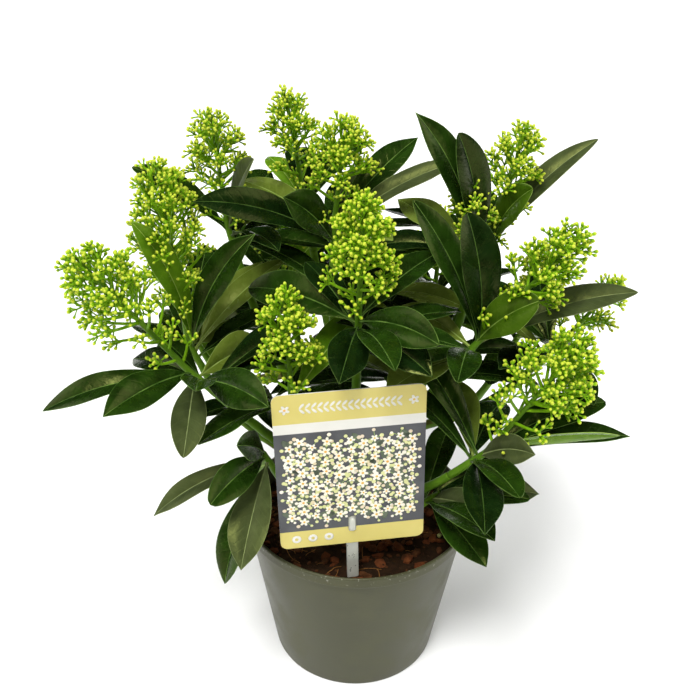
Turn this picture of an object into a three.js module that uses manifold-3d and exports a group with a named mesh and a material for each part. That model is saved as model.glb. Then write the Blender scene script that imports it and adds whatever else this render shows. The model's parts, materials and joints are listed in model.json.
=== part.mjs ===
// A flowering skimmia in its 17 cm nursery pot, with a plant card on a clear stake.
// Millimetres, +Z up. The origin is the centre of the pot's flat underside.
// The plant is a short trunk, one tapering bough for each shoot, and one leafy mass at the end
// of each bough: a stem, a whorl of leaves and, on most shoots, a cone of flower buds.
import * as THREE from "three";
import { mergeVertices } from "three/addons/utils/BufferGeometryUtils.js";
import Module from "manifold-3d";

const wasm = await Module();
wasm.setup();

// ---------------------------------------------------------------- driving dimensions
const GAP = 0.3; // clear gap between neighbouring pieces
const SWELL = 1.3 * GAP; // added to a limb's corners, so that its flats move out by the gap
const SMALLEST_EDGE = 0.02; // what a join leaves smaller than this is merged

const POT = {
  height: 128,
  rimRadius: 85,
  lipHeight: 8.5,
  lipProud: 3.2,
  baseRadius: 62.5,
  wall: 1.6,
  floor: 2.4,
  bevel: 1.2,
  sides: 36,
};
const SOIL = { level: 114, moat: 14 };

const TRUNK = {
  lean: [-3, 4], // how far the fork stands from the foot, along x and y
  fork: 150, // height of the fork
  footRadius: 11.5,
  neckRadius: 8,
  neckHeight: 12,
  forkRadius: 6.5,
  sides: 10,
};
const BOUGH = { radius: 4.4, tipRadius: 2.9, sideRadius: 3.6, sides: 6, steps: 4 };
const STEM = { footRadius: 2.7, nodeRadius: 2.4, necklineRadius: 1.5, sides: 5 };

const LEAF = {
  thickness: 1.3, // at the midrib
  fold: 0.22, // how far the edges rise, for each millimetre of half width
  petiole: 0.1, // share of the length that is stalk
  stalkHalfWidth: 1.1,
  droop: 34, // degrees between the directions of the two ends
  below: 1.5, // how far the first leaf sits under the whorl's node
  rise: 1.7, // distance along the stem from one leaf to the next
  sunk: 0.6, // how far past the stem's axis a leaf is rooted
  stations: [0.26, 0.58, 0.84],
};
const GOLDEN_ANGLE = 137.508;

const SPRAY = { radius: 7, beyond: 4.5, reach: 0.2, area: 150, sides: 4 };

// How near a blade's sample points may come to other things, and for its own shoot's things the
// share of the blade beyond which that holds.
const CLEARANCE = { leaf: 4.4, limb: 3.2, spray: 7.6, pot: 3.5, card: 4.5 };
const CARD_VIEW = { depth: 90, slope: 0.55, margin: 3 }; // the open space in front of the card
const OWN_CLEARANCE = { leaf: 2.6, limb: 1.5, spray: 3, beyond: 0.45 };
const SAMPLES = { first: 3, last: 18, across: 3 };

const CARD = {
  width: 98,
  height: 124,
  thickness: 0.8,
  corner: 5,
  centre: [-5, -67, 207.5],
  yaw: 8,
  turn: -1.9,
  slotWidth: 5.2,
  slotHeight: 13,
  slotBelowCentre: 45,
};
const STAKE = {
  width: 8,
  depth: 3,
  wall: 1.2,
  foot: 82,
  top: 258,
  lugWidth: 4.4,
  lugHeight: 11,
  lugProud: 2.4, // how far the lug stands out in front of the card
};

// ---------------------------------------------------------------- the plant's layout
// leaf(azimuth, lift, length, width, roll): the azimuth turns from +X to +Y, and the lift is the
// angle of the line from root to tip above the horizontal, both in degrees.
const leaf = (azimuth, lift, length, width, roll = 0) => ({ azimuth, lift, length, width, roll });

// Each shoot: its bough's parent and the place along it, the whorl's node, the tip of the flower
// head with its radius and the bare share of its stalk, its posed leaves, and how many it has in all.
const SHOOTS = [
  {
    name: "left_low", parent: "trunk", at: 0.5, node: [-112, -30, 257], tip: [-180, -30, 342],
    head: 32, bare: 0.34, leaves: 10,
    posed: [
      leaf(236, 6, 80, 24, -35), leaf(188, -12, 105, 21, -25), leaf(271, -13, 72, 22, -5),
      leaf(54, -3, 66, 27, 55), leaf(140, -10, 75, 22, -15), leaf(313, 12, 76, 26, 50),
    ],
  },
  {
    name: "left_mid", parent: "left_low", at: 0.42, node: [-120, 15, 252], tip: [-134, 22, 384],
    head: 30, bare: 0.37, leaves: 9,
    posed: [
      leaf(63, -7, 66, 30, 55), leaf(219, 71, 112, 21, -75), leaf(350, 62, 108, 23, 65),
      leaf(41, 30, 100, 22, 10),
    ],
  },
  {
    name: "left_top", parent: "trunk", at: 0.82, node: [-98, 85, 311], tip: [-106, 85, 397],
    head: 26, bare: 0.25, leaves: 9,
    posed: [
      leaf(68, 17, 76, 24, 40), leaf(306, 59, 80, 22, 75), leaf(179, 36, 86, 21, -25),
    ],
  },
  {
    name: "mid_top", parent: "trunk", at: 0.86, node: [-20, 55, 325], tip: [-12, 55, 404],
    head: 28, bare: 0.24, leaves: 9,
    posed: [
      leaf(58, 25, 76, 23, 20), leaf(42, 33, 98, 25, 15), leaf(8, 30, 104, 18, 30),
      leaf(69, 12, 56, 18, 35), leaf(141, 14, 92, 20, -30), leaf(204, 24, 111, 24, -45),
      leaf(223, 46, 66, 26, -75),
    ],
  },
  {
    name: "back_top", parent: "mid_top", at: 0.55, node: [-42, 100, 324], tip: [-55, 100, 408],
    head: 24, bare: 0.28, leaves: 9,
    posed: [],
  },
  {
    name: "centre", parent: "trunk", at: 0.8, node: [-2, -25, 297], tip: [0, -25, 380],
    head: 26, bare: 0.05, leaves: 10,
    posed: [
      leaf(42, 20, 80, 22, 15), leaf(311, 12, 76, 24, 60), leaf(145, -1, 95, 28, -40),
      leaf(260, -4, 66, 26, -15), leaf(310, -2, 72, 24, 30), leaf(125, 21, 70, 22),
    ],
  },
  {
    name: "front", parent: "centre", at: 0.35, node: [-45, -36, 242], tip: [-49, -38, 322],
    head: 23, bare: 0.08, leaves: 9,
    posed: [],
  },
  {
    name: "right_top", parent: "trunk", at: 0.76, node: [93, 70, 309], tip: [110, 70, 397],
    head: 24, bare: 0.28, leaves: 9,
    posed: [
      leaf(18, 43, 108, 21, 15), leaf(311, 58, 66, 24, 75),
    ],
  },
  {
    name: "right_inner", parent: "right_top", at: 0.62, node: [77, 35, 318], tip: [70, 36, 367],
    head: 19, bare: 0.28, leaves: 8,
    posed: [
      leaf(181, 65, 110, 23, -55), leaf(199, 78, 92, 26, -75),
    ],
  },
  {
    name: "right_mid", parent: "trunk", at: 0.68, node: [81, 0, 268], tip: [141, 0, 351],
    head: 25, bare: 0.34, leaves: 10,
    posed: [
      leaf(131, 77, 92, 32, -10), leaf(155, 61, 110, 25, -25), leaf(333, 47, 62, 28, 60),
      leaf(6, 19, 119, 25, 20), leaf(133, 4, 72, 18, -30), leaf(223, 17, 72, 17, -60),
    ],
  },
  {
    name: "right_far", parent: "right_mid", at: 0.5, node: [144, 45, 236], tip: [183, 45, 293],
    head: 20, bare: 0.15, leaves: 8,
    posed: [],
  },
  {
    name: "right_low", parent: "trunk", at: 0.45, node: [85, -50, 211], tip: [141, -50, 300],
    head: 31, bare: 0.3, leaves: 10,
    posed: [
      leaf(352, 16, 90, 18, 125), leaf(18, 16, 94, 28, 10), leaf(8, 4, 106, 22, 5),
      leaf(313, 30, 52, 20, 65), leaf(131, 39, 90, 23),
    ],
  },
  {
    name: "low_left", parent: "left_low", at: 0.3, node: [-64, -42, 200], tip: null,
    head: 0, bare: 0, leaves: 6,
    posed: [
      leaf(247, 41, 50, 20, -75), leaf(243, 5, 68, 22, -40), leaf(193, -25, 90, 18, -20),
      leaf(259, -29, 80, 27), leaf(233, -57, 92, 25), leaf(138, -49, 36, 16, -75),
    ],
  },
  {
    name: "low_right", parent: "right_low", at: 0.42, node: [53, -30, 156], tip: null,
    head: 0, bare: 0, leaves: 7,
    posed: [
      leaf(10, -4, 84, 27, 15), leaf(313, 18, 58, 22, 45), leaf(301, -6, 72, 26, 5),
    ],
  },
  {
    name: "back_left", parent: "left_top", at: 0.5, node: [-140, 110, 225], tip: [-152, 124, 288],
    head: 25, bare: 0.15, leaves: 11,
    posed: [],
  },
  {
    name: "back_mid", parent: "back_centre", at: 0.45, node: [-62, 150, 235], tip: [-68, 165, 300],
    head: 25, bare: 0.15, leaves: 12,
    posed: [],
  },
  {
    name: "back_centre", parent: "trunk", at: 0.72, node: [0, 180, 222], tip: [2, 202, 286],
    head: 25, bare: 0.15, leaves: 11,
    posed: [],
  },
  {
    name: "back_right", parent: "right_top", at: 0.45, node: [62, 145, 232], tip: [67, 160, 296],
    head: 25, bare: 0.15, leaves: 12,
    posed: [],
  },
  {
    name: "right_back", parent: "right_far", at: 0.35, node: [133, 118, 212], tip: [150, 132, 272],
    head: 25, bare: 0.15, leaves: 10,
    posed: [],
  },
  {
    name: "inner_left", parent: "left_top", at: 0.34, node: [-66, 22, 206], tip: null,
    head: 0, bare: 0, leaves: 8,
    posed: [],
  },
  {
    name: "inner_right", parent: "right_top", at: 0.34, node: [40, 24, 226], tip: null,
    head: 0, bare: 0, leaves: 8,
    posed: [],
  },
  {
    name: "inner_back", parent: "mid_top", at: 0.45, node: [8, 92, 262], tip: null,
    head: 0, bare: 0, leaves: 9,
    posed: [],
  },
  {
    name: "low_back", parent: "trunk", at: 0.55, node: [-12, 95, 176], tip: null,
    head: 0, bare: 0, leaves: 10,
    posed: [],
  },
];
const FILL_LEAF = { length: 84, width: 24, lift: 22, spread: 0.16, tries: 40 };
const CROWN_SPACE = { centre: [5, 50, 235], radii: [170, 210, 155] }; // where the spirals' leaves end
const STEM_LENGTH = 34; // from the bough's tip to the whorl's node
const BUD_LENGTH = 9; // the closed bud that ends a leafy shoot

// ---------------------------------------------------------------- materials
const paint = (color, roughness, metalness = 0) =>
  new THREE.MeshStandardMaterial({ color, roughness, metalness });
const MATERIALS = {
  pot: paint(0x5d6052, 0.62),
  soil: paint(0x3b2a1f, 0.95),
  bark: paint(0x6b5a40, 0.85),
  foliage: paint(0x2f5a2a, 0.45),
  card: paint(0xd9cf86, 0.5),
  clear: paint(0xdfe4e0, 0.2),
};

// ---------------------------------------------------------------- solids and joins
// A closed triangle mesh as a solid that can be joined and cut.
function solidOf(geometry) {
  const bare = geometry.clone();
  bare.deleteAttribute("normal");
  bare.deleteAttribute("uv");
  const merged = mergeVertices(bare, 1e-4);
  const mesh = new wasm.Mesh({
    numProp: 3,
    vertProperties: merged.attributes.position.array,
    triVerts: new Uint32Array(merged.index.array),
  });
  return new wasm.Manifold(mesh);
}

// The largest closed body of a solid, without loose scraps or sealed hollows.
function largestBody(solid) {
  const bodies = solid.decompose().sort((a, b) => b.volume() - a.volume());
  return bodies[0];
}

function geometryOf(solid) {
  const mesh = solid.getMesh();
  const geometry = new THREE.BufferGeometry();
  geometry.setAttribute("position", new THREE.BufferAttribute(mesh.vertProperties, 3));
  geometry.setIndex(new THREE.BufferAttribute(mesh.triVerts, 1));
  geometry.computeVertexNormals();
  return geometry;
}

function namedMesh(name, geometry, material) {
  const mesh = new THREE.Mesh(geometry, material);
  mesh.name = name;
  return mesh;
}

// A closed body through rings of equal size, each an array of Vector3 seen anticlockwise from
// its far end. A ring of one point closes that end.
function skin(rings) {
  const positions = [];
  const starts = [];
  for (const ring of rings) {
    starts.push(positions.length / 3);
    for (const point of ring) positions.push(point.x, point.y, point.z);
  }
  const faces = [];
  const joinRings = (k) => {
    const [a, b] = [rings[k].length, rings[k + 1].length];
    const count = Math.max(a, b);
    for (let i = 0; i < count; i++) {
      const j = (i + 1) % count;
      const low = [starts[k] + (i % a), starts[k] + (j % a)];
      const high = [starts[k + 1] + (i % b), starts[k + 1] + (j % b)];
      if (a > 1) faces.push(low[0], low[1], high[1]);
      if (b > 1) faces.push(low[0], high[1], high[0]);
    }
  };
  for (let k = 0; k + 1 < rings.length; k++) joinRings(k);
  const fan = (k, outward) => {
    for (let i = 1; i + 1 < rings[k].length; i++) {
      const [b, c] = outward ? [i, i + 1] : [i + 1, i];
      faces.push(starts[k], starts[k] + b, starts[k] + c);
    }
  };
  fan(0, false);
  fan(rings.length - 1, true);
  const geometry = new THREE.BufferGeometry();
  geometry.setAttribute("position", new THREE.Float32BufferAttribute(positions, 3));
  geometry.setIndex(faces);
  return geometry;
}

// Two directions that make a right-handed frame with the given one.
function crossAxes(direction) {
  const helper = Math.abs(direction.z) < 0.9 ? new THREE.Vector3(0, 0, 1) : new THREE.Vector3(1, 0, 0);
  const u = new THREE.Vector3().crossVectors(helper, direction).normalize();
  const v = new THREE.Vector3().crossVectors(direction, u);
  return [u, v];
}

// A round tapering limb along a list of centres, as a solid. Its rings face the given directions.
function limb(centres, radii, directions, sides) {
  const rings = centres.map((centre, k) => {
    if (radii[k] === 0) return [centre];
    const [u, v] = crossAxes(directions[k]);
    return Array.from({ length: sides }, (_, i) => {
      const angle = (2 * Math.PI * i) / sides;
      return centre
        .clone()
        .addScaledVector(u, radii[k] * Math.cos(angle))
        .addScaledVector(v, radii[k] * Math.sin(angle));
    });
  });
  return solidOf(skin(rings));
}

// ---------------------------------------------------------------- the growth rule
const radians = THREE.MathUtils.degToRad;
const vector = (values) => new THREE.Vector3(...values);
const mix = (a, b, t) => a + (b - a) * t;

// Repeatable numbers between 0 and 1, the same for the same two counters.
function randomFrom(first, second) {
  let state = (first * 7919 + second * 104729 + 12345) % 4294967296;
  const next = () => {
    state = (state * 1664525 + 1013904223) % 4294967296;
    return state / 4294967296;
  };
  next();
  next();
  return next;
}

// The straight line of a shoot's own stem, from the bough's tip to the node.
function stemDirection(shoot) {
  const node = vector(shoot.node);
  const along = shoot.tip ? vector(shoot.tip).sub(node).normalize() : new THREE.Vector3(0, 0, 1);
  const outward = node.clone().sub(new THREE.Vector3(0, 0, TRUNK.fork)).normalize();
  return along.multiplyScalar(0.55).addScaledVector(outward, 0.45).normalize();
}

const shootFoot = (shoot) => vector(shoot.node).addScaledVector(stemDirection(shoot), -STEM_LENGTH);

const shootTip = (shoot) =>
  shoot.tip ? vector(shoot.tip) : vector(shoot.node).addScaledVector(stemDirection(shoot), BUD_LENGTH);

// A leaf's midrib at a share s of its length, with the tangent, side and normal there.
function leafFrame(blade, s) {
  const droop = radians(blade.droop);
  const start = radians(blade.lift) + droop / 2;
  const angle = start - droop * s;
  const run = (blade.length / droop) * (Math.sin(start) - Math.sin(angle));
  const climb = (blade.length / droop) * (Math.cos(angle) - Math.cos(start));
  const azimuth = radians(blade.azimuth);
  const heading = new THREE.Vector3(Math.cos(azimuth), Math.sin(azimuth), 0);
  const left = new THREE.Vector3(-Math.sin(azimuth), Math.cos(azimuth), 0);
  const up = new THREE.Vector3(0, 0, 1);
  const tangent = heading.clone().multiplyScalar(Math.cos(angle)).addScaledVector(up, Math.sin(angle));
  const lifted = heading.clone().multiplyScalar(-Math.sin(angle)).addScaledVector(up, Math.cos(angle));
  const roll = radians(blade.roll);
  const side = left.clone().multiplyScalar(Math.cos(roll)).addScaledVector(lifted, Math.sin(roll));
  const normal = lifted.multiplyScalar(Math.cos(roll)).addScaledVector(left, -Math.sin(roll));
  const point = blade.root.clone().addScaledVector(heading, run).addScaledVector(up, climb);
  return { point, tangent, side, normal };
}

// Half the blade's width at a share s of its length.
function halfWidth(blade, s) {
  const share = (s - LEAF.petiole) / (1 - LEAF.petiole);
  if (share <= 0) return LEAF.stalkHalfWidth;
  const swell = Math.pow(Math.max(Math.sin(Math.PI * Math.pow(share, 1.3)), 0), 0.85);
  return mix(LEAF.stalkHalfWidth * (1 - share), blade.width / 2, swell);
}

// A point of the blade, across from -1 (right edge) to 1 (left edge).
function leafPoint(blade, s, across) {
  const frame = leafFrame(blade, s);
  const half = halfWidth(blade, s);
  return frame.point
    .addScaledVector(frame.side, across * half)
    .addScaledVector(frame.normal, Math.abs(across) * half * LEAF.fold);
}

// Points spread over a blade from a share of its length on.
function bladeSamples(blade, from = 0) {
  const samples = [];
  for (let i = SAMPLES.first; i <= SAMPLES.last; i++) {
    if (i / SAMPLES.last < from) continue;
    for (let j = -SAMPLES.across; j <= SAMPLES.across; j++) {
      samples.push(leafPoint(blade, i / SAMPLES.last, j / SAMPLES.across));
    }
  }
  return samples;
}

function isNear(samples, others, limit) {
  return samples.some((a) => others.some((b) => a.distanceToSquared(b) < limit * limit));
}

// The radius of a flower head at a share f of its length.
const HEAD_PROFILE = [[0, 0.65], [0.25, 1], [0.55, 0.95], [0.8, 0.74], [1, 0.3]];
function headRadius(shoot, f) {
  const k = HEAD_PROFILE.findIndex(([end]) => f <= end);
  if (k <= 0) return shoot.head * HEAD_PROFILE[0][1];
  const [[f0, r0], [f1, r1]] = [HEAD_PROFILE[k - 1], HEAD_PROFILE[k]];
  return shoot.head * mix(r0, r1, (f - f0) / (f1 - f0));
}

// The sprays of a flower head: each has a root on the axis and a head near the surface.
function headSprays(shoot, index) {
  if (!shoot.tip) return [];
  const node = vector(shoot.node);
  const axis = shootTip(shoot).sub(node);
  const [u, v] = crossAxes(axis.clone().normalize());
  const length = axis.length() * (1 - shoot.bare);
  const count = Math.round((length * shoot.head) / SPRAY.area);
  const random = randomFrom(index + 1, 1);
  return Array.from({ length: count }, (_, k) => {
    const f = mix(0.04, 0.93, (k + 0.5) / count);
    const turn = radians(k * GOLDEN_ANGLE + 40 * index + 24 * (random() - 0.5));
    const out = (headRadius(shoot, f) - SPRAY.beyond) * mix(0.86, 1.06, random());
    const share = shoot.bare + f * (1 - shoot.bare);
    const rootShare = share - SPRAY.reach * mix(0.3, 1, share);
    const side = u.clone().multiplyScalar(Math.cos(turn)).addScaledVector(v, Math.sin(turn));
    return {
      owner: shoot.name,
      root: node.clone().addScaledVector(axis, rootShare),
      head: node.clone().addScaledVector(axis, share).addScaledVector(side, Math.max(out, 1.5)),
    };
  });
}

// ---------------------------------------------------------------- limbs
function trunkAxis(share) {
  const height = mix(SOIL.level + GAP, TRUNK.fork, share);
  return new THREE.Vector3(TRUNK.lean[0] * share, TRUNK.lean[1] * share, height);
}

function trunkRadius(share) {
  const rise = share * (TRUNK.fork - SOIL.level);
  const flare = Math.max(1 - rise / TRUNK.neckHeight, 0);
  return mix(TRUNK.neckRadius, TRUNK.forkRadius, share) + (TRUNK.footRadius - TRUNK.neckRadius) * flare ** 2;
}

function boughLine(shoot) {
  const foot = shootFoot(shoot);
  const start = attachPoint(shoot);
  const reach = foot.distanceTo(start);
  const bend = foot.clone().addScaledVector(stemDirection(shoot), -reach * 0.45);
  const end = foot.clone().addScaledVector(stemDirection(shoot), -GAP);
  return new THREE.QuadraticBezierCurve3(start, bend, end);
}

function attachPoint(shoot) {
  if (shoot.parent === "trunk") return trunkAxis(shoot.at);
  return boughLine(SHOOTS.find((other) => other.name === shoot.parent)).getPoint(shoot.at);
}

function boughRadius(shoot, share) {
  const start = shoot.parent === "trunk" ? BOUGH.radius : BOUGH.sideRadius;
  return mix(start, BOUGH.tipRadius, share);
}

// Points along the axes of the trunk, the boughs and the stems, each with its radius and owner.
function limbSamples() {
  const samples = [];
  for (let k = 0; k <= 12; k++) {
    samples.push({ owner: "trunk", point: trunkAxis(k / 12), radius: trunkRadius(k / 12) });
  }
  for (const shoot of SHOOTS) {
    const line = boughLine(shoot);
    const steps = Math.ceil(line.getLength() / 3);
    for (let k = 0; k <= steps; k++) {
      const share = k / steps;
      samples.push({ owner: "bough", point: line.getPoint(share), radius: boughRadius(shoot, share) });
    }
    const foot = shootFoot(shoot);
    const node = vector(shoot.node);
    const tip = shootTip(shoot);
    for (let k = 0; k <= 12; k++) {
      samples.push({ owner: shoot.name, point: foot.clone().lerp(node, k / 12), radius: STEM.footRadius });
    }
    for (let k = 1; k <= 30; k++) {
      samples.push({ owner: shoot.name, point: node.clone().lerp(tip, k / 30), radius: STEM.nodeRadius });
    }
  }
  return samples;
}

// ---------------------------------------------------------------- leaves in their places
// Whether a point comes too near the pot, or behind, beside or in front of the card. The space in
// front of the card rises forward, so that its face stays open to a viewer above.
function nearPotOrCard(point) {
  const radius = Math.hypot(point.x, point.y);
  if (radius < POT.rimRadius + CLEARANCE.pot && point.z < POT.height + CLEARANCE.pot) return true;
  const up = new THREE.Vector3(0, 0, 1);
  const local = point.clone().sub(vector(CARD.centre)).applyAxisAngle(up, -radians(CARD.yaw));
  const top = CARD.height / 2 + CARD_VIEW.margin + CARD_VIEW.slope * Math.max(-local.y, 0);
  return (
    Math.abs(local.x) < CARD.width / 2 + CARD_VIEW.margin &&
    local.y < CLEARANCE.card &&
    local.y > -CARD_VIEW.depth &&
    local.z > -CARD.height / 2 - CARD_VIEW.margin &&
    local.z < top
  );
}

// A blade in its place on the stem, a little lower for each leaf that is already there.
function rootedBlade(shoot, form, place) {
  const azimuth = radians(form.azimuth);
  const heading = new THREE.Vector3(Math.cos(azimuth), Math.sin(azimuth), 0);
  const root = vector(shoot.node)
    .addScaledVector(stemDirection(shoot), -LEAF.below - place * LEAF.rise)
    .addScaledVector(heading, -LEAF.sunk);
  const blade = { droop: LEAF.droop, ...form, root, owner: shoot.name };
  blade.all = bladeSamples(blade);
  blade.outer = bladeSamples(blade, OWN_CLEARANCE.beyond);
  return blade;
}

// Whether a leaf's tip stays in the crown's own space.
function inCrown(blade) {
  const tip = leafFrame(blade, 1).point.sub(vector(CROWN_SPACE.centre)).divide(vector(CROWN_SPACE.radii));
  return tip.lengthSq() < 1;
}

// One leaf of the whorl's spiral, tried when the posed ones are in place.
function spiralForm(index, attempt) {
  const random = randomFrom(index + 31, attempt + 7);
  const size = 1 + FILL_LEAF.spread * (2 * random() - 1);
  return {
    azimuth: (attempt * GOLDEN_ANGLE + index * 57) % 360,
    lift: FILL_LEAF.lift + 30 * (random() - 0.5) - (attempt % 7) * 3,
    length: FILL_LEAF.length * size,
    width: FILL_LEAF.width * mix(0.88, 1.14, random()),
    roll: 24 * (random() - 0.5),
    droop: LEAF.droop * mix(0.7, 1.5, random()),
  };
}

// Whether a blade keeps clear of the pot and the card, of other blades, of limbs and of sprays.
function fits(blade, placed, limbs, sprays) {
  const clearOf = (thing, points, kind, extra = 0) => {
    const own = thing.owner === blade.owner;
    const limit = (own ? OWN_CLEARANCE : CLEARANCE)[kind] + extra;
    return !isNear(own ? blade.outer : blade.all, points, limit);
  };
  const otherPoints = (other) => (other.owner === blade.owner ? other.outer : other.all);
  return (
    !blade.all.some(nearPotOrCard) &&
    placed.every((other) => clearOf(other, otherPoints(other), "leaf")) &&
    limbs.every((piece) => clearOf(piece, [piece.point], "limb", piece.radius)) &&
    sprays.every((spray) => clearOf(spray, [spray.head], "spray"))
  );
}

// Every leaf that keeps clear of its neighbours, posed ones first and then the spirals.
function growLeaves() {
  const limbs = limbSamples();
  const sprays = SHOOTS.flatMap(headSprays);
  const placed = [];
  const tryLeaf = (shoot, form, place) => {
    const blade = rootedBlade(shoot, form, place);
    const kept = (shoot.posed.includes(form) || inCrown(blade)) && fits(blade, placed, limbs, sprays);
    if (kept) placed.push(blade);
    return kept;
  };
  for (const shoot of SHOOTS) shoot.posed.forEach((form, place) => tryLeaf(shoot, form, place));
  SHOOTS.forEach((shoot, index) => {
    let place = placed.filter((blade) => blade.owner === shoot.name).length;
    for (let attempt = 0; attempt < FILL_LEAF.tries && place < shoot.leaves; attempt++) {
      if (tryLeaf(shoot, spiralForm(index, attempt), place)) place += 1;
    }
  });
  return placed;
}

// ---------------------------------------------------------------- the plant's solids
function trunkSolid(extra = 0) {
  const shares = [0, 0.12, 0.34, 0.7, 1];
  const upright = shares.map(() => new THREE.Vector3(0, 0, 1));
  return limb(shares.map(trunkAxis), shares.map((s) => trunkRadius(s) + extra), upright, TRUNK.sides);
}

function boughSolid(shoot, extra = 0) {
  const line = boughLine(shoot);
  const shares = Array.from({ length: BOUGH.steps + 1 }, (_, k) => k / BOUGH.steps);
  const radii = shares.map((share) => boughRadius(shoot, share) + extra);
  const directions = shares.map((share) => line.getTangent(share));
  return limb(shares.map((share) => line.getPoint(share)), radii, directions, BOUGH.sides);
}

// A leaf with a ridge on top and below, pointed at both ends.
function leafSolid(blade) {
  const rings = LEAF.stations.map((s) => {
    const frame = leafFrame(blade, s);
    const ridge = frame.normal.clone().multiplyScalar(LEAF.thickness / 2);
    return [
      leafPoint(blade, s, -1),
      frame.point.clone().add(ridge),
      leafPoint(blade, s, 1),
      frame.point.clone().sub(ridge),
    ].reverse();
  });
  return solidOf(skin([[blade.root], ...rings, [leafFrame(blade, 1).point]]));
}

// A spray of buds as one club: a thin root, a swelling head and a point.
function spraySolid(spray) {
  const along = spray.head.clone().sub(spray.root).normalize();
  const tip = spray.head.clone().addScaledVector(along, SPRAY.beyond);
  return limb([spray.root, spray.head, tip], [0, SPRAY.radius, 0], [along, along, along], SPRAY.sides);
}

function stemSolid(shoot) {
  const node = vector(shoot.node);
  const tip = shootTip(shoot);
  const neck = node.clone().lerp(tip, shoot.tip ? 0.55 : 0.5);
  const neckRadius = shoot.tip ? STEM.necklineRadius : STEM.nodeRadius;
  const along = stemDirection(shoot);
  const upper = tip.clone().sub(node).normalize();
  const radii = [STEM.footRadius, STEM.nodeRadius, neckRadius, 0];
  return limb([shootFoot(shoot), node, neck, tip], radii, [along, along, upper, upper], STEM.sides);
}

function massSolid(shoot, index, leaves) {
  const own = leaves.filter((blade) => blade.owner === shoot.name);
  const pieces = [stemSolid(shoot), ...own.map(leafSolid), ...headSprays(shoot, index).map(spraySolid)];
  return largestBody(wasm.Manifold.union(pieces).simplify(SMALLEST_EDGE));
}

// ---------------------------------------------------------------- pot, soil, card and stake
function lathe(profile, sides) {
  const points = profile.map(([r, z]) => new THREE.Vector2(r, z));
  return new THREE.LatheGeometry(points, sides).rotateX(Math.PI / 2);
}

function bodyRadius(z) {
  return mix(POT.baseRadius, POT.rimRadius - POT.lipProud, z / (POT.height - POT.lipHeight));
}

function potGeometry() {
  const lipFoot = POT.height - POT.lipHeight;
  const inner = (z) => bodyRadius(z) - POT.wall;
  const profile = [
    [0, 0],
    [POT.baseRadius - POT.bevel, 0],
    [bodyRadius(POT.bevel), POT.bevel],
    [bodyRadius(lipFoot), lipFoot],
    [POT.rimRadius - 0.6, lipFoot],
    [POT.rimRadius, lipFoot + 1],
    [POT.rimRadius, POT.height - POT.bevel],
    [POT.rimRadius - POT.bevel, POT.height],
    [POT.rimRadius - 3.2, POT.height],
    [inner(lipFoot), lipFoot],
    [inner(POT.floor), POT.floor],
    [0, POT.floor],
  ];
  return lathe(profile, POT.sides);
}

function soilGeometry() {
  const fit = (z) => bodyRadius(z) - POT.wall - GAP;
  const profile = [
    [0, POT.floor + GAP],
    [fit(POT.floor), POT.floor + GAP],
    [fit(SOIL.level - 3), SOIL.level - 3],
    [fit(SOIL.level) - SOIL.moat, SOIL.level - 1],
    [TRUNK.footRadius * 2.5, SOIL.level],
    [0, SOIL.level],
  ];
  return lathe(profile, POT.sides);
}

// Things drawn flat in x and z round the card's centre take their place and angle here.
function placeAtCard(geometry) {
  geometry.rotateY(radians(CARD.turn));
  geometry.rotateZ(radians(CARD.yaw));
  return geometry.translate(...CARD.centre);
}

function roundedShape(width, height, corner, x = 0, y = 0) {
  const [w, h] = [width / 2, height / 2];
  const shape = new THREE.Shape();
  shape.moveTo(x - w + corner, y - h);
  shape.lineTo(x + w - corner, y - h);
  shape.absarc(x + w - corner, y - h + corner, corner, -Math.PI / 2, 0);
  shape.lineTo(x + w, y + h - corner);
  shape.absarc(x + w - corner, y + h - corner, corner, 0, Math.PI / 2);
  shape.lineTo(x - w + corner, y + h);
  shape.absarc(x - w + corner, y + h - corner, corner, Math.PI / 2, Math.PI);
  shape.lineTo(x - w, y - h + corner);
  shape.absarc(x - w + corner, y - h + corner, corner, Math.PI, 1.5 * Math.PI);
  return shape;
}

// An outline in x and z, given a depth along +Y from y0.
function slab(shape, depth, y0) {
  const geometry = new THREE.ExtrudeGeometry(shape, { depth, bevelEnabled: false, curveSegments: 3 });
  return geometry.rotateX(Math.PI / 2).translate(0, y0 + depth, 0);
}

function cardGeometry() {
  const outline = roundedShape(CARD.width, CARD.height, CARD.corner);
  outline.holes.push(roundedShape(CARD.slotWidth, CARD.slotHeight, 1.5, 0, -CARD.slotBelowCentre));
  return placeAtCard(slab(outline, CARD.thickness, -CARD.thickness / 2));
}

// The stake: a channel that stands in the soil behind the card, with a lug through the card's slot.
function stakeGeometry() {
  const behind = CARD.thickness / 2 + GAP;
  const { width, depth, wall, lugWidth, lugHeight, lugProud } = STAKE;
  const [low, high] = [STAKE.foot - CARD.centre[2], STAKE.top - CARD.centre[2]];
  const box = (x0, x1, y0, y1, z0, z1) => {
    const block = new THREE.BoxGeometry(x1 - x0, y1 - y0, z1 - z0);
    return solidOf(block.translate((x0 + x1) / 2, (y0 + y1) / 2, (z0 + z1) / 2));
  };
  const channel = box(-width / 2, width / 2, behind, behind + depth, low, high).subtract(
    box(wall - width / 2, width / 2 - wall, behind + wall, behind + depth + 1, low - 1, high + 1),
  );
  const middle = -CARD.slotBelowCentre;
  const front = -CARD.thickness / 2 - lugProud;
  const [bottom, top] = [middle - lugHeight / 2, middle + lugHeight / 2];
  const lug = box(-lugWidth / 2, lugWidth / 2, front, behind + wall / 2, bottom, top);
  return placeAtCard(geometryOf(channel.add(lug)));
}

// ---------------------------------------------------------------- the assembly
const plant = new THREE.Group();

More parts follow.
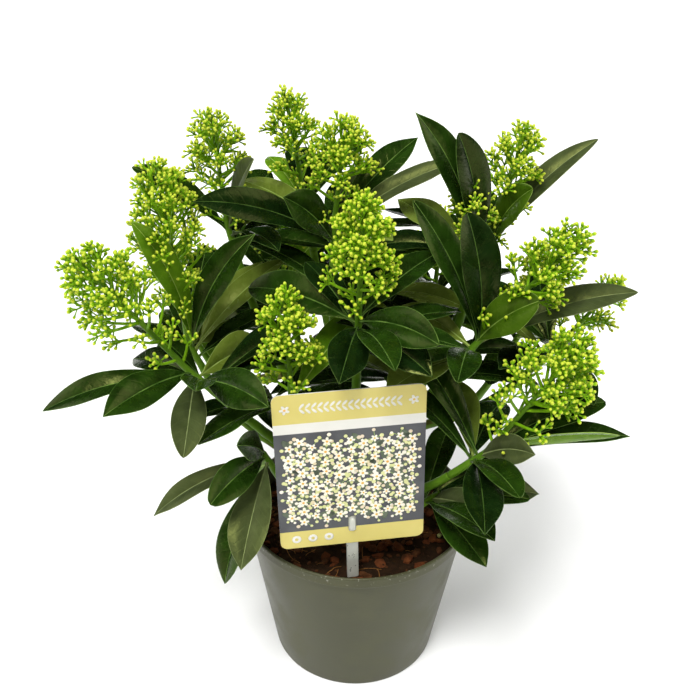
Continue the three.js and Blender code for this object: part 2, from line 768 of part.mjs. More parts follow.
function addPot() {
  plant.add(namedMesh("pot", potGeometry(), MATERIALS.pot));
  plant.add(namedMesh("label_card", cardGeometry(), MATERIALS.card));
  plant.add(namedMesh("label_stake", stakeGeometry(), MATERIALS.clear));
  plant.add(namedMesh("soil", geometryOf(solidOf(soilGeometry()).subtract(stakeSlot())), MATERIALS.soil));
}

// The slot that the stake stands in, clear of it all round.
function stakeSlot() {
  const { width, depth, foot } = STAKE;
  const low = foot - GAP - CARD.centre[2];
  const high = SOIL.level + 5 - CARD.centre[2];
  const behind = CARD.thickness / 2;
  const slot = new THREE.BoxGeometry(width + 2 * GAP, depth + 2 * GAP, high - low);
  slot.translate(0, behind + GAP + depth / 2, (low + high) / 2);
  return solidOf(placeAtCard(slot));
}

function addLimbs() {
  const trunk = trunkSolid();
  plant.add(namedMesh("trunk", geometryOf(trunk), MATERIALS.bark));
  const swollen = [trunkSolid(SWELL)];
  for (const shoot of SHOOTS) {
    const bough = largestBody(swollen.reduce((solid, other) => solid.subtract(other), boughSolid(shoot)));
    plant.add(namedMesh("bough_" + shoot.name, geometryOf(bough), MATERIALS.bark));
    swollen.push(boughSolid(shoot, SWELL));
  }
}

function addMasses() {
  const leaves = growLeaves();
  SHOOTS.forEach((shoot, index) => {
    const mass = massSolid(shoot, index, leaves);
    plant.add(namedMesh("mass_" + shoot.name, geometryOf(mass), MATERIALS.foliage));
  });
}

addPot();
addLimbs();
addMasses();

export default plant;
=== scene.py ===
"""A flowering skimmia in its 17 cm nursery pot, with a plant card on a clear stake.

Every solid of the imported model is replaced. Each shoot grows its leaves and its flower branches by
the same rule as the solids, carried on to leaves with ribs and edges and to single buds.
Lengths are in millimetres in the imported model's frame until a mesh is made of them.
"""
import json
import math
from dataclasses import dataclass, field
from types import SimpleNamespace as Sizes

import bmesh
import bpy
import numpy as np
from mathutils import Euler, Matrix, Vector, noise

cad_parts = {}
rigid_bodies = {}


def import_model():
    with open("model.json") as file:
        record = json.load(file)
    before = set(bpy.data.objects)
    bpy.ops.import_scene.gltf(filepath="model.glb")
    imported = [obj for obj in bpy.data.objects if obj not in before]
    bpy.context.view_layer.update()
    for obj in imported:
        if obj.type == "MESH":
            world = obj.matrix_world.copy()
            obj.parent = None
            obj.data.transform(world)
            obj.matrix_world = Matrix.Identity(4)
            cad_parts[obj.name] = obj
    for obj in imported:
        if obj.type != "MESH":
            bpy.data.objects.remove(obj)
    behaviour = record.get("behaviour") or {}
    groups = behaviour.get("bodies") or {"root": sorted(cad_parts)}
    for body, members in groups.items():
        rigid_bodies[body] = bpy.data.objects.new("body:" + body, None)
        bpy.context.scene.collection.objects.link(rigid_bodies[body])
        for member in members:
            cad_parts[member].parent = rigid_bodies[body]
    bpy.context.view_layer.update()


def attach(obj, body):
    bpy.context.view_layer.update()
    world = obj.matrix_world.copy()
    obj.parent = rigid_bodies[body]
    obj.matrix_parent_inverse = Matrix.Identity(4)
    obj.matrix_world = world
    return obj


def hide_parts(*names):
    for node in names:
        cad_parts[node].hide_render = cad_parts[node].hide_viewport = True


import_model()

MM = 0.001
UP = np.array([0.0, 0.0, 1.0])

# ---- sizes shared with the solids ----
GAP = 0.3
POT = Sizes(height=128, rim_radius=85, lip_height=8.5, lip_proud=3.2, base_radius=62.5, wall=1.6, floor=2.4)
SOIL_LEVEL = 114
TRUNK = Sizes(lean=(-3, 4), fork=150, foot_radius=11.5, neck_radius=8, neck_height=12, fork_radius=6.5)
BOUGH = Sizes(radius=4.4, tip_radius=2.9, side_radius=3.6)
STEM = Sizes(length=34, foot_radius=2.7, node_radius=2.4, bud_length=9)
LEAF = Sizes(fold=0.22, petiole=0.1, stalk_half_width=1.1, droop=34, below=1.5, rise=1.7, sunk=0.6)
GOLDEN_ANGLE = 137.508
SPRAY = Sizes(beyond=4.5, reach=0.2, area=150)
CLEARANCE = Sizes(leaf=4.4, limb=3.2, spray=7.6, pot=3.5, card=4.5)
OWN_CLEARANCE = Sizes(leaf=2.6, limb=1.5, spray=3, beyond=0.45)
CARD_VIEW = Sizes(depth=90, slope=0.55, margin=3)
SAMPLES = Sizes(first=3, last=18, across=3)
CARD = Sizes(
    width=98, height=124, thickness=0.8, corner=5, centre=(-5, -67, 207.5), yaw=8, turn=-1.9,
    slot_width=5.2, slot_height=13, slot_corner=1.5, slot_level=-45,
)
STAKE = Sizes(width=8, depth=3, wall=1.2, foot=82, top=258, lug_width=4.4, lug_height=11, lug_proud=2.4)
FILL_LEAF = Sizes(length=84, width=24, lift=22, spread=0.16, tries=40)
CROWN_SPACE = Sizes(centre=(5, 50, 235), radii=(170, 210, 155))
HEAD_PROFILE = ((0, 0.65), (0.25, 1), (0.55, 0.95), (0.8, 0.74), (1, 0.3))


# ---- small sums ----
def mix(a, b, t):
    return a + (b - a) * t


def unit(vector):
    return vector / np.linalg.norm(vector)


def direction(azimuth):
    """The level direction at an azimuth in degrees, from +X to +Y."""
    return np.array([math.cos(math.radians(azimuth)), math.sin(math.radians(azimuth)), 0.0])


def polar(radius, angle):
    return radius * math.cos(angle), radius * math.sin(angle)


def cross_axes(along):
    """Two directions that make a right-handed frame with the given one."""
    helper = UP if abs(along[2]) < 0.9 else np.array([1.0, 0.0, 0.0])
    u = unit(np.cross(helper, along))
    return u, np.cross(along, u)


def around(axes, turn):
    """The direction at an angle in degrees from the first of two axes to the second."""
    return axes[0] * math.cos(math.radians(turn)) + axes[1] * math.sin(math.radians(turn))


def curve(start, bend, end, shares):
    """Points at the given shares of a line that bends once."""
    t = np.atleast_1d(shares)[:, None]
    return start * (1 - t) ** 2 + bend * 2 * t * (1 - t) + end * t**2


def line_length(points):
    return float(np.linalg.norm(np.diff(points, axis=0), axis=1).sum())


def random_from(first, second):
    """Repeatable numbers between 0 and 1, the same for the same two counters."""
    state = (first * 7919 + second * 104729 + 12345) % 2**32

    def draw():
        nonlocal state
        state = (state * 1664525 + 1013904223) % 2**32
        return state / 2**32

    draw()
    draw()
    return draw


def rough(point, size, seed=0.0):
    """Smooth noise from -1 to 1 at a point, with bumps of about the given size."""
    return noise.noise(Vector(point) / size + Vector((seed, 1.7 * seed, -seed)))


# ---- the plant's layout ----
@dataclass
class Leaf:
    """A leaf's place and size: azimuth from +X to +Y and lift above the horizontal, in degrees."""
    azimuth: float
    lift: float
    length: float
    width: float
    roll: float = 0
    tone: str = ""
    droop: float = LEAF.droop
    blunt: float = None


@dataclass
class Shoot:
    """A bough, the node of its whorl of leaves and, for a flowering one, the tip of its head."""
    name: str
    parent: str
    at: float
    node: tuple
    tip: tuple = None
    head: float = 0
    bare: float = 0
    leaves: int = 8
    posed: list = field(default_factory=list)

    def __post_init__(self):
        """Finds the stem's direction and foot, and the tip of a leafy shoot's small end bud."""
        self.node = np.array(self.node, float)
        self.flowers = self.tip is not None
        upward = unit(self.tip - self.node) if self.flowers else UP
        outward = unit(self.node - [0, 0, TRUNK.fork])
        self.along = unit(0.55 * upward + 0.45 * outward)
        self.foot = self.node - self.along * STEM.length
        self.tip = np.array(self.tip, float) if self.flowers else self.node + self.along * STEM.bud_length


# In these rows the grey tone is a painted sheen, and the deep tone is partly painted shade.
SHOOTS = [
    Shoot("left_low", "trunk", 0.5, (-112, -30, 257), (-180, -30, 342), 32, 0.34, 10, [
        Leaf(236, 6, 80, 24, -35, "dark"), Leaf(188, -12, 105, 21, -25, "dark"),
        Leaf(271, -13, 72, 22, -5, "grey"), Leaf(54, -3, 66, 27, 55, "mid", blunt=0.7),
        Leaf(140, -10, 75, 22, -15, "dark"), Leaf(313, 12, 76, 26, 50, "dark"),
    ]),
    Shoot("left_mid", "left_low", 0.42, (-120, 15, 252), (-134, 22, 384), 30, 0.37, 9, [
        Leaf(63, -7, 66, 30, 55, "mid", blunt=0.7), Leaf(219, 71, 112, 21, -75, "light"),
        Leaf(350, 62, 108, 23, 65, "dark"), Leaf(41, 30, 100, 22, 10, "mid"),
    ]),
    Shoot("left_top", "trunk", 0.82, (-98, 85, 311), (-106, 85, 397), 26, 0.25, 9, [
        Leaf(68, 17, 76, 24, 40, "dark"), Leaf(306, 59, 80, 22, 75, "grey"),
        Leaf(179, 36, 86, 21, -25, "dark"),
    ]),
    Shoot("mid_top", "trunk", 0.86, (-20, 55, 325), (-12, 55, 404), 28, 0.24, 9, [
        Leaf(58, 25, 76, 23, 20, "grey"), Leaf(42, 33, 98, 25, 15, "dark"),
        Leaf(8, 30, 104, 18, 30, "grey"), Leaf(69, 12, 56, 18, 35, "light"),
        Leaf(141, 14, 92, 20, -30, "mid"), Leaf(204, 24, 111, 24, -45, "deep"),
        Leaf(223, 46, 66, 26, -75, "dark"),
    ]),
    Shoot("back_top", "mid_top", 0.55, (-42, 100, 324), (-55, 100, 408), 24, 0.28, 9),
    Shoot("centre", "trunk", 0.8, (-2, -25, 297), (0, -25, 380), 26, 0.05, 10, [
        Leaf(42, 20, 80, 22, 15, "dark"), Leaf(311, 12, 76, 24, 60, "dark"),
        Leaf(145, -1, 95, 28, -40, "dark"), Leaf(260, -4, 66, 26, -15, "deep"),
        Leaf(310, -2, 72, 24, 30, "deep"), Leaf(125, 21, 70, 22, 0, "deep"),
    ]),
    Shoot("front", "centre", 0.35, (-45, -36, 242), (-49, -38, 322), 23, 0.08, 9),
    Shoot("right_top", "trunk", 0.76, (93, 70, 309), (110, 70, 397), 24, 0.28, 9, [
        Leaf(18, 43, 108, 21, 15, "grey"), Leaf(311, 58, 66, 24, 75, "young", blunt=0.8),
    ]),
    Shoot("right_inner", "right_top", 0.62, (77, 35, 318), (70, 36, 367), 19, 0.28, 8, [
        Leaf(181, 65, 110, 23, -55, "dark"), Leaf(199, 78, 92, 26, -75, "deep", blunt=0.8),
    ]),
    Shoot("right_mid", "trunk", 0.68, (81, 0, 268), (141, 0, 351), 25, 0.34, 10, [
        Leaf(131, 77, 92, 32, -10, "deep", blunt=0.9), Leaf(155, 61, 110, 25, -25, "dark"),
        Leaf(333, 47, 62, 28, 60, "young", blunt=0.95), Leaf(6, 19, 119, 25, 20, "grey", blunt=0.6),
        Leaf(133, 4, 72, 18, -30, "mid"), Leaf(223, 17, 72, 17, -60, "dark"),
    ]),
    Shoot("right_far", "right_mid", 0.5, (144, 45, 236), (183, 45, 293), 20, 0.15, 8),
    Shoot("right_low", "trunk", 0.45, (85, -50, 211), (141, -50, 300), 31, 0.3, 10, [
        Leaf(352, 16, 90, 18, 125, "light"), Leaf(18, 16, 94, 28, 10, "dark"),
        Leaf(8, 4, 106, 22, 5, "dark"), Leaf(313, 30, 52, 20, 65, "grey"),
        Leaf(131, 39, 90, 23, 0, "dark"),
    ]),
    Shoot("low_left", "left_low", 0.3, (-64, -42, 200), leaves=6, posed=[
        Leaf(247, 41, 50, 20, -75, "dark"), Leaf(243, 5, 68, 22, -40, "dark"),
        Leaf(193, -25, 90, 18, -20, "grey"), Leaf(259, -29, 80, 27, 0, "grey"),
        Leaf(233, -57, 92, 25, 0, "dark"), Leaf(138, -49, 36, 16, -75, "light"),
    ]),
    Shoot("low_right", "right_low", 0.42, (53, -30, 156), leaves=7, posed=[
        Leaf(10, -4, 84, 27, 15, "grey"), Leaf(313, 18, 58, 22, 45, "grey"),
        Leaf(301, -6, 72, 26, 5, "dark"),
    ]),
    Shoot("back_left", "left_top", 0.5, (-140, 110, 225), (-152, 124, 288), 25, 0.15, 11),
    Shoot("back_mid", "back_centre", 0.45, (-62, 150, 235), (-68, 165, 300), 25, 0.15, 12),
    Shoot("back_centre", "trunk", 0.72, (0, 180, 222), (2, 202, 286), 25, 0.15, 11),
    Shoot("back_right", "right_top", 0.45, (62, 145, 232), (67, 160, 296), 25, 0.15, 12),
    Shoot("right_back", "right_far", 0.35, (133, 118, 212), (150, 132, 272), 25, 0.15, 10),
    Shoot("inner_left", "left_top", 0.34, (-66, 22, 206)),
    Shoot("inner_right", "right_top", 0.34, (40, 24, 226)),
    Shoot("inner_back", "mid_top", 0.45, (8, 92, 262), leaves=9),
    Shoot("low_back", "trunk", 0.55, (-12, 95, 176), leaves=10),
]
SHOOT_NAMED = {shoot.name: shoot for shoot in SHOOTS}
SIDES = ("left", "right", "back")
BACK_FROM = 80
LEFT_UNTIL = -30


def side_of(shoot):
    """The part of the crown that a shoot's pieces are joined into."""
    if shoot.node[1] > BACK_FROM:
        return "back"
    return "left" if shoot.node[0] < LEFT_UNTIL else "right"


# ---- the growth rule, as in the solids ----
@dataclass
class Blade:
    """A leaf in its place on a shoot."""
    leaf: Leaf
    root: np.ndarray
    owner: str

    def __post_init__(self):
        self.samples = self.spread_points()
        self.outer = self.spread_points(OWN_CLEARANCE.beyond)

    def frames(self, s):
        """The midrib's points at shares s of its length, with the sides and normals there."""
        leaf = self.leaf
        droop = math.radians(leaf.droop)
        start = math.radians(leaf.lift) + droop / 2
        angle = (start - droop * s)[:, None]
        run = leaf.length / droop * (math.sin(start) - np.sin(angle))
        climb = leaf.length / droop * (np.cos(angle) - math.cos(start))
        heading = direction(leaf.azimuth)
        left = direction(leaf.azimuth + 90)
        lifted = -heading * np.sin(angle) + UP * np.cos(angle)
        roll = math.radians(leaf.roll)
        sides = left * math.cos(roll) + lifted * math.sin(roll)
        normals = lifted * math.cos(roll) - left * math.sin(roll)
        return self.root + heading * run + UP * climb, sides, normals

    def half_widths(self, s, fullness=0.85):
        held = np.clip((s - LEAF.petiole) / (1 - LEAF.petiole), 0, 1)
        swell = np.maximum(np.sin(math.pi * held**1.3), 0) ** fullness
        return mix(LEAF.stalk_half_width * (1 - held), self.leaf.width / 2, swell)

    def spread_points(self, beyond=0.0):
        """Points spread over the blade from a share of its length on."""
        steps = np.arange(SAMPLES.first, SAMPLES.last + 1) / SAMPLES.last
        steps = steps[steps >= beyond]
        across = np.arange(-SAMPLES.across, SAMPLES.across + 1) / SAMPLES.across
        centres, sides, normals = self.frames(steps)
        half = self.half_widths(steps)[:, None, None] * across[None, :, None]
        points = centres[:, None] + sides[:, None] * half + normals[:, None] * np.abs(half) * LEAF.fold
        return points.reshape(-1, 3)


@dataclass
class Spray:
    """One branch of a flower head: its root on the axis and the middle of its buds."""
    root: np.ndarray
    head: np.ndarray
    outward: np.ndarray
    height: float


def spray_at(shoot, f, turn, spread):
    """The spray at a share f of the head's length, turned round its axis by an angle in degrees."""
    axis = shoot.tip - shoot.node
    radius = shoot.head * float(np.interp(f, *zip(*HEAD_PROFILE)))
    out = (radius - SPRAY.beyond) * spread
    share = shoot.bare + f * (1 - shoot.bare)
    root_share = share - SPRAY.reach * mix(0.3, 1, share)
    side = around(cross_axes(unit(axis)), turn)
    head = shoot.node + axis * share + side * max(out, 1.5)
    return Spray(shoot.node + axis * root_share, head, side, f)


def head_sprays(shoot, index):
    """The sprays of a flower head that the solids have too, none for a leafy shoot."""
    axis = np.linalg.norm(shoot.tip - shoot.node)
    count = math.floor(axis * (1 - shoot.bare) * shoot.head / SPRAY.area + 0.5)
    draw = random_from(index + 1, 1)
    sprays = []
    for k in range(count):
        turn = k * GOLDEN_ANGLE + 40 * index + 24 * (draw() - 0.5)
        spread = mix(0.86, 1.06, draw())
        sprays.append(spray_at(shoot, mix(0.04, 0.93, (k + 0.5) / count), turn, spread))
    return sprays


def trunk_axis(share):
    height = mix(SOIL_LEVEL + GAP, TRUNK.fork, share)
    return np.array([TRUNK.lean[0] * share, TRUNK.lean[1] * share, height])


def trunk_radius(share):
    rise = share * (TRUNK.fork - SOIL_LEVEL)
    flare = max(1 - rise / TRUNK.neck_height, 0)
    taper = mix(TRUNK.neck_radius, TRUNK.fork_radius, share)
    return taper + (TRUNK.foot_radius - TRUNK.neck_radius) * flare**2


def bough_line(shoot, shares):
    """Points of a bough's curve, from where it leaves its parent to its end below the mass."""
    if shoot.parent == "trunk":
        start = trunk_axis(shoot.at)
    else:
        start = bough_line(SHOOT_NAMED[shoot.parent], shoot.at)[0]
    bend = shoot.foot - shoot.along * np.linalg.norm(shoot.foot - start) * 0.45
    return curve(start, bend, shoot.foot - shoot.along * GAP, shares)


def bough_radius(shoot, share):
    start = BOUGH.radius if shoot.parent == "trunk" else BOUGH.side_radius
    return mix(start, BOUGH.tip_radius, share)


def limb_samples():
    """Each point along the axes of trunk, boughs and stems, with its owner and its limb's radius."""
    rows = [("trunk", trunk_axis(k / 12), trunk_radius(k / 12)) for k in range(13)]
    for shoot in SHOOTS:
        steps = math.ceil(line_length(bough_line(shoot, np.linspace(0, 1, 201))) / 3)
        shares = np.arange(steps + 1) / steps
        rows += [("bough", bough_line(shoot, share)[0], bough_radius(shoot, share)) for share in shares]
        rows += [(shoot.name, mix(shoot.foot, shoot.node, k / 12), STEM.foot_radius) for k in range(13)]
        rows += [(shoot.name, mix(shoot.node, shoot.tip, k / 30), STEM.node_radius) for k in range(1, 31)]
    return rows


def near_pot_or_card(points):
    """Whether any point comes too near the pot, or into the open space round the card's face."""
    at_pot = np.hypot(points[:, 0], points[:, 1]) < POT.rim_radius + CLEARANCE.pot
    at_pot &= points[:, 2] < POT.height + CLEARANCE.pot
    turn = math.radians(CARD.yaw)
    x, y, z = (points - CARD.centre).T
    x, y = x * math.cos(turn) + y * math.sin(turn), y * math.cos(turn) - x * math.sin(turn)
    top = CARD.height / 2 + CARD_VIEW.margin + CARD_VIEW.slope * np.maximum(-y, 0)
    at_card = (np.abs(x) < CARD.width / 2 + CARD_VIEW.margin) & (y < CLEARANCE.card)
    at_card &= (y > -CARD_VIEW.depth) & (z > -CARD.height / 2 - CARD_VIEW.margin) & (z < top)
    return bool((at_pot | at_card).any())


def is_near(points, others, limits):
    """Whether any point is nearer to one of the others than that one's limit."""
    apart = np.linalg.norm(points[:, None] - others[None], axis=2)
    return bool((apart < limits).any())


def in_crown(blade):
    """Whether a leaf's tip stays in the crown's own space."""
    tip = blade.frames(np.array([1.0]))[0][0]
    return bool(np.sum(((tip - CROWN_SPACE.centre) / CROWN_SPACE.radii) ** 2) < 1)


def spiral_leaf(index, attempt):
    """One leaf of the whorl's spiral, tried when the posed ones are in place."""
    draw = random_from(index + 31, attempt + 7)
    size = 1 + FILL_LEAF.spread * (2 * draw() - 1)
    lift = FILL_LEAF.lift + 30 * (draw() - 0.5) - (attempt % 7) * 3
    width = FILL_LEAF.width * mix(0.88, 1.14, draw())
    roll = 24 * (draw() - 0.5)
    droop = LEAF.droop * mix(0.7, 1.5, draw())
    azimuth = (attempt * GOLDEN_ANGLE + index * 57) % 360
    return Leaf(azimuth, lift, FILL_LEAF.length * size, width, roll, "", droop)


class Crown:
    """The leaves that have been placed, and the limbs and sprays that they keep clear of."""

    def __init__(self):
        rows = [
            (owner, point, OWN_CLEARANCE.limb + radius, CLEARANCE.limb + radius)
            for owner, point, radius in limb_samples()
        ]
        for index, shoot in enumerate(SHOOTS):
            limits = (OWN_CLEARANCE.spray, CLEARANCE.spray)
            rows += [(shoot.name, spray.head, *limits) for spray in head_sprays(shoot, index)]
        self.owners, self.points, self.own_limits, self.limits = map(np.array, zip(*rows))
        self.blades = []

    def clear_of_wood(self, blade):
        own = self.owners == blade.owner
        near_own = is_near(blade.outer, self.points[own], self.own_limits[own])
        return not near_own and not is_near(blade.samples, self.points[~own], self.limits[~own])

    def clear_of_blade(self, blade, other):
        if np.linalg.norm(blade.root - other.root) > (blade.leaf.length + other.leaf.length) * 1.1 + 20:
            return True
        if blade.owner == other.owner:
            return not is_near(blade.outer, other.outer, OWN_CLEARANCE.leaf)
        return not is_near(blade.samples, other.samples, CLEARANCE.leaf)

    def try_leaf(self, shoot, leaf, place):
        """Places a leaf, a little lower on the stem for each one that is there, if it fits."""
        drop = shoot.along * (-LEAF.below - place * LEAF.rise)
        blade = Blade(leaf, shoot.node + drop - direction(leaf.azimuth) * LEAF.sunk, shoot.name)
        fits = (
            (leaf in shoot.posed or in_crown(blade))
            and not near_pot_or_card(blade.samples)
            and self.clear_of_wood(blade)
            and all(self.clear_of_blade(blade, other) for other in self.blades)
        )
        if fits:
            self.blades.append(blade)
        return fits

    def grow(self):
        """Every leaf that keeps clear of its neighbours, posed ones first and then the spirals."""
        for shoot in SHOOTS:
            for place, leaf in enumerate(shoot.posed):
                self.try_leaf(shoot, leaf, place)
        for index, shoot in enumerate(SHOOTS):
            place = sum(blade.owner == shoot.name for blade in self.blades)
            for attempt in range(FILL_LEAF.tries):
                if place < shoot.leaves and self.try_leaf(shoot, spiral_leaf(index, attempt), place):
                    place += 1
        return self.blades


# ---- meshes ----
def linked(name, data):
    """A new object in the scene."""
    made = bpy.data.objects.new(name, data)
    bpy.context.scene.collection.objects.link(made)
    return made


class Surface:
    """Points and faces that become one piece, with a material's name for each face."""

    def __init__(self):
        self.points = []
        self.faces = []
        self.paints = []
        self.places = []
        self.count = 0

    def add(self, points, faces, paints, places=None):
        """Adds points with their faces. paints is one material's name, or one for each face."""
        self.points.append(points)
        self.faces += [tuple(self.count + i for i in face) for face in faces]
        self.paints += [paints] * len(faces) if isinstance(paints, str) else list(paints)
        self.places.append(np.zeros((len(points), 3)) if places is None else places)
        self.count += len(points)

    def make(self, name, slot, nodes=(), flat=False):
        """The piece itself, in metres, which rides with the part and stands for the given nodes."""
        mesh = bpy.data.meshes.new(name)
        mesh.from_pydata((np.vstack(self.points) * MM).tolist(), [], self.faces)
        used = sorted(set(self.paints))
        for paint in used:
            mesh.materials.append(MATERIALS[paint])
        mesh.polygons.foreach_set("material_index", [used.index(paint) for paint in self.paints])
        mesh.polygons.foreach_set("use_smooth", [not flat] * len(self.faces))
        places = np.vstack(self.places)
        if places.any():
            attribute = mesh.attributes.new("blade_place", "FLOAT_VECTOR", "POINT")
            attribute.data.foreach_set("vector", places.astype(np.float32).ravel())
        mesh.update()
        piece = linked(name, mesh)
        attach(piece, "root")
        if nodes:
            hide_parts(*nodes)


def ring_faces(rings, sides):
    """The four-sided faces between rings of equal size, seen anticlockwise from the far end."""
    corners = [(i, (i + 1) % sides) for i in range(sides)]
    starts = [k * sides for k in range(rings - 1)]
    return [(k + i, k + j, k + sides + j, k + sides + i) for k in starts for i, j in corners]


def closed_rings(rings, tip=None):
    """Points and faces of a body through rings, whose far end is flat or runs to a tip."""
    count, sides = rings.shape[:2]
    last = (count - 1) * sides
    points = rings.reshape(-1, 3)
    faces = ring_faces(count, sides) + [tuple(reversed(range(sides)))]
    if tip is None:
        return points, faces + [tuple(range(last, last + sides))]
    fan = [(last + i, last + (i + 1) % sides, last + sides) for i in range(sides)]
    return np.vstack([points, tip]), faces + fan


def ring_angles(sides):
    return 2 * math.pi * np.arange(sides) / sides


def turned_rings(profile, sides):
    """A level ring about the vertical axis for each radius and height of a profile."""
    return np.array([[(*polar(radius, angle), z) for angle in ring_angles(sides)] for radius, z in profile])


def path_frames(path):
    """Two directions across a path at each of its points, carried on without a twist."""
    steps = np.gradient(path, axis=0)
    tangents = steps / np.linalg.norm(steps, axis=1)[:, None]
    u = cross_axes(tangents[0])[0]
    across = []
    for tangent in tangents:
        u = unit(u - tangent * np.dot(u, tangent))
        across.append((u, np.cross(tangent, u)))
    return np.array(across)


def tube(path, radii, sides, relief=None):
    """A round limb along a path. relief(k, angle) gives a factor on the radius at a ring."""
    frames = path_frames(path)
    angles = ring_angles(sides)
    size = np.asarray(radii)[:, None] * np.ones(sides)
    if relief:
        size = size * np.array([[relief(k, angle) for angle in angles] for k in range(len(path))])
    u_part = frames[:, :1] * (size * np.cos(angles))[..., None]
    v_part = frames[:, 1:] * (size * np.sin(angles))[..., None]
    return closed_rings(path[:, None] + u_part + v_part)


def taken_from(mesh):
    """The points and faces of a mesh that is still being edited, which is then given up."""
    points = np.array([vertex.co[:] for vertex in mesh.verts])
    faces = [tuple(vertex.index for vertex in face.verts) for face in mesh.faces]
    mesh.free()
    return points, faces


def ball(subdivisions):
    """Points and faces of a sphere with a radius of 1."""
    sphere = bmesh.new()
    bmesh.ops.create_icosphere(sphere, subdivisions=subdivisions, radius=1)
    return taken_from(sphere)


# ---- materials ----
MATERIALS = {}
VEIN_PITCH = 7.5
WARM_SHEEN = dict(Specular_IOR_Level=0.25, Specular_Tint=(1.0, 0.75, 0.5, 1.0))
GREEN_SHEEN = dict(Specular_IOR_Level=0.28, Specular_Tint=(0.92, 1.0, 0.28, 1.0))
BACKDROP_GLOW = dict(Emission_Color=(1, 1, 1, 1), Emission_Strength=0.55)
# Rows of materials alike: the size of their patches, their roughness, the size and the depth of
# their grain, in millimetres, the shader's settings, and the two colours of each material.
MOTTLED = (
    (5, 0.42, 0.7, 0.04, GREEN_SHEEN, dict(
        bud_tip=("#c8d446", "#bbca37"), bud_side=("#94bc1b", "#86b012"),
        bud_cup=("#78ab15", "#6c9d10"), flower_stalk=("#7cac17", "#6b9a10"),
    )),
    (6, 0.82, 0.9, 0.3, {}, dict(bark_brown=("#5b4a34", "#75624a"))),
    (7, 0.7, 0.9, 0.18, GREEN_SHEEN, dict(bark_olive=("#4c521f", "#5e5f2b"))),
    (12, 0.5, 1.2, 0.1, GREEN_SHEEN, dict(shoot_green=("#456c12", "#557a1a"))),
    (4, 0.93, 0.8, 0.6, WARM_SHEEN, dict(peat=("#180d06", "#26160b"))),
    (5, 0.85, 0.8, 0.4, WARM_SHEEN, dict(chip_red=("#46210f", "#623419"))),
    (5, 0.88, 0.8, 0.4, WARM_SHEEN, dict(chip_brown=("#3a2010", "#51301a"))),
    (5, 0.9, 0.8, 0.4, WARM_SHEEN, dict(chip_dark=("#1c1008", "#2e1c11"))),
    (4, 0.8, 0.6, 0.2, WARM_SHEEN, dict(fibre=("#70491f", "#8c6034"))),
    (2, 0.45, 0.5, 0.1, {}, dict(feed_bead=("#8f9050", "#a5a264"))),
    (20, 0.4, 0.8, 0.02, dict(Coat_Weight=0.15), dict(
        card_yellow=("#c9ba60", "#cdbf67"), card_white=("#d7d5cb", "#dcdad1"),
        card_panel=("#35363a", "#484a4c"), card_leaf=("#47523c", "#55624a"),
        petal=("#ece3cd", "#f3ecdc"), petal_dusk=("#d8cba0", "#e2cfb4"),
        petal_heart=("#e0a53a", "#d8b84a"), sprig=("#76924a", "#869f56"), sprig_bud=("#cfd08a", "#dcdc9c"),
    )),
    (300, 0.9, 10, 0.05, {}, dict(floor_paint=("#f4f4f3", "#f7f7f6"))),
    (300, 0.9, 10, 0.05, BACKDROP_GLOW, dict(backdrop_paint=("#f4f4f3", "#f7f7f6"))),
)


@dataclass
class Tone:
    """The colours of one kind of leaf: two for each side, and those of its vein, rib and keel."""
    top: tuple
    under: tuple
    vein: str
    rib: str
    keel: str
    gloss: float = 0.25


LEAF_TONES = {
    # This tone is a very dark green made darker still: partly painted shade, for leaves that lie in the
    # crown's shade.
    "deep": Tone(("#091804", "#11250a"), ("#343f26", "#3f4b2e"), "#203810", "#4d6a2e", "#56633c"),
    "dark": Tone(("#122505", "#1f380a"), ("#414d30", "#4c5938"), "#2f4e1a", "#64823a", "#647247"),
    "mid": Tone(("#566720", "#69792e"), ("#5f7038", "#6c7e42"), "#6f8536", "#93a858", "#8a9a60"),
    "young": Tone(("#334f0a", "#425e10"), ("#5e7434", "#69803c"), "#55751f", "#86a04a", "#84985a"),
    "light": Tone(("#4d7410", "#628819"), ("#7a9240", "#879f4b"), "#7c9c36", "#9cb656", "#a2b56a"),
    # This tone is a painted sheen: dark leaves painted a lighter grey-green where they catch the light.
    "grey": Tone(("#353e22", "#434d2b"), ("#4a5338", "#566043"), "#56623c", "#88935f", "#727c56", 0.36),
}


def linear(code):
    """A colour written as #rrggbb, as the linear values that a shader takes."""
    values = [int(code[i:i + 2], 16) / 255 for i in (1, 3, 5)]
    return tuple(v / 12.92 if v <= 0.04045 else ((v + 0.055) / 1.055) ** 2.4 for v in values) + (1.0,)


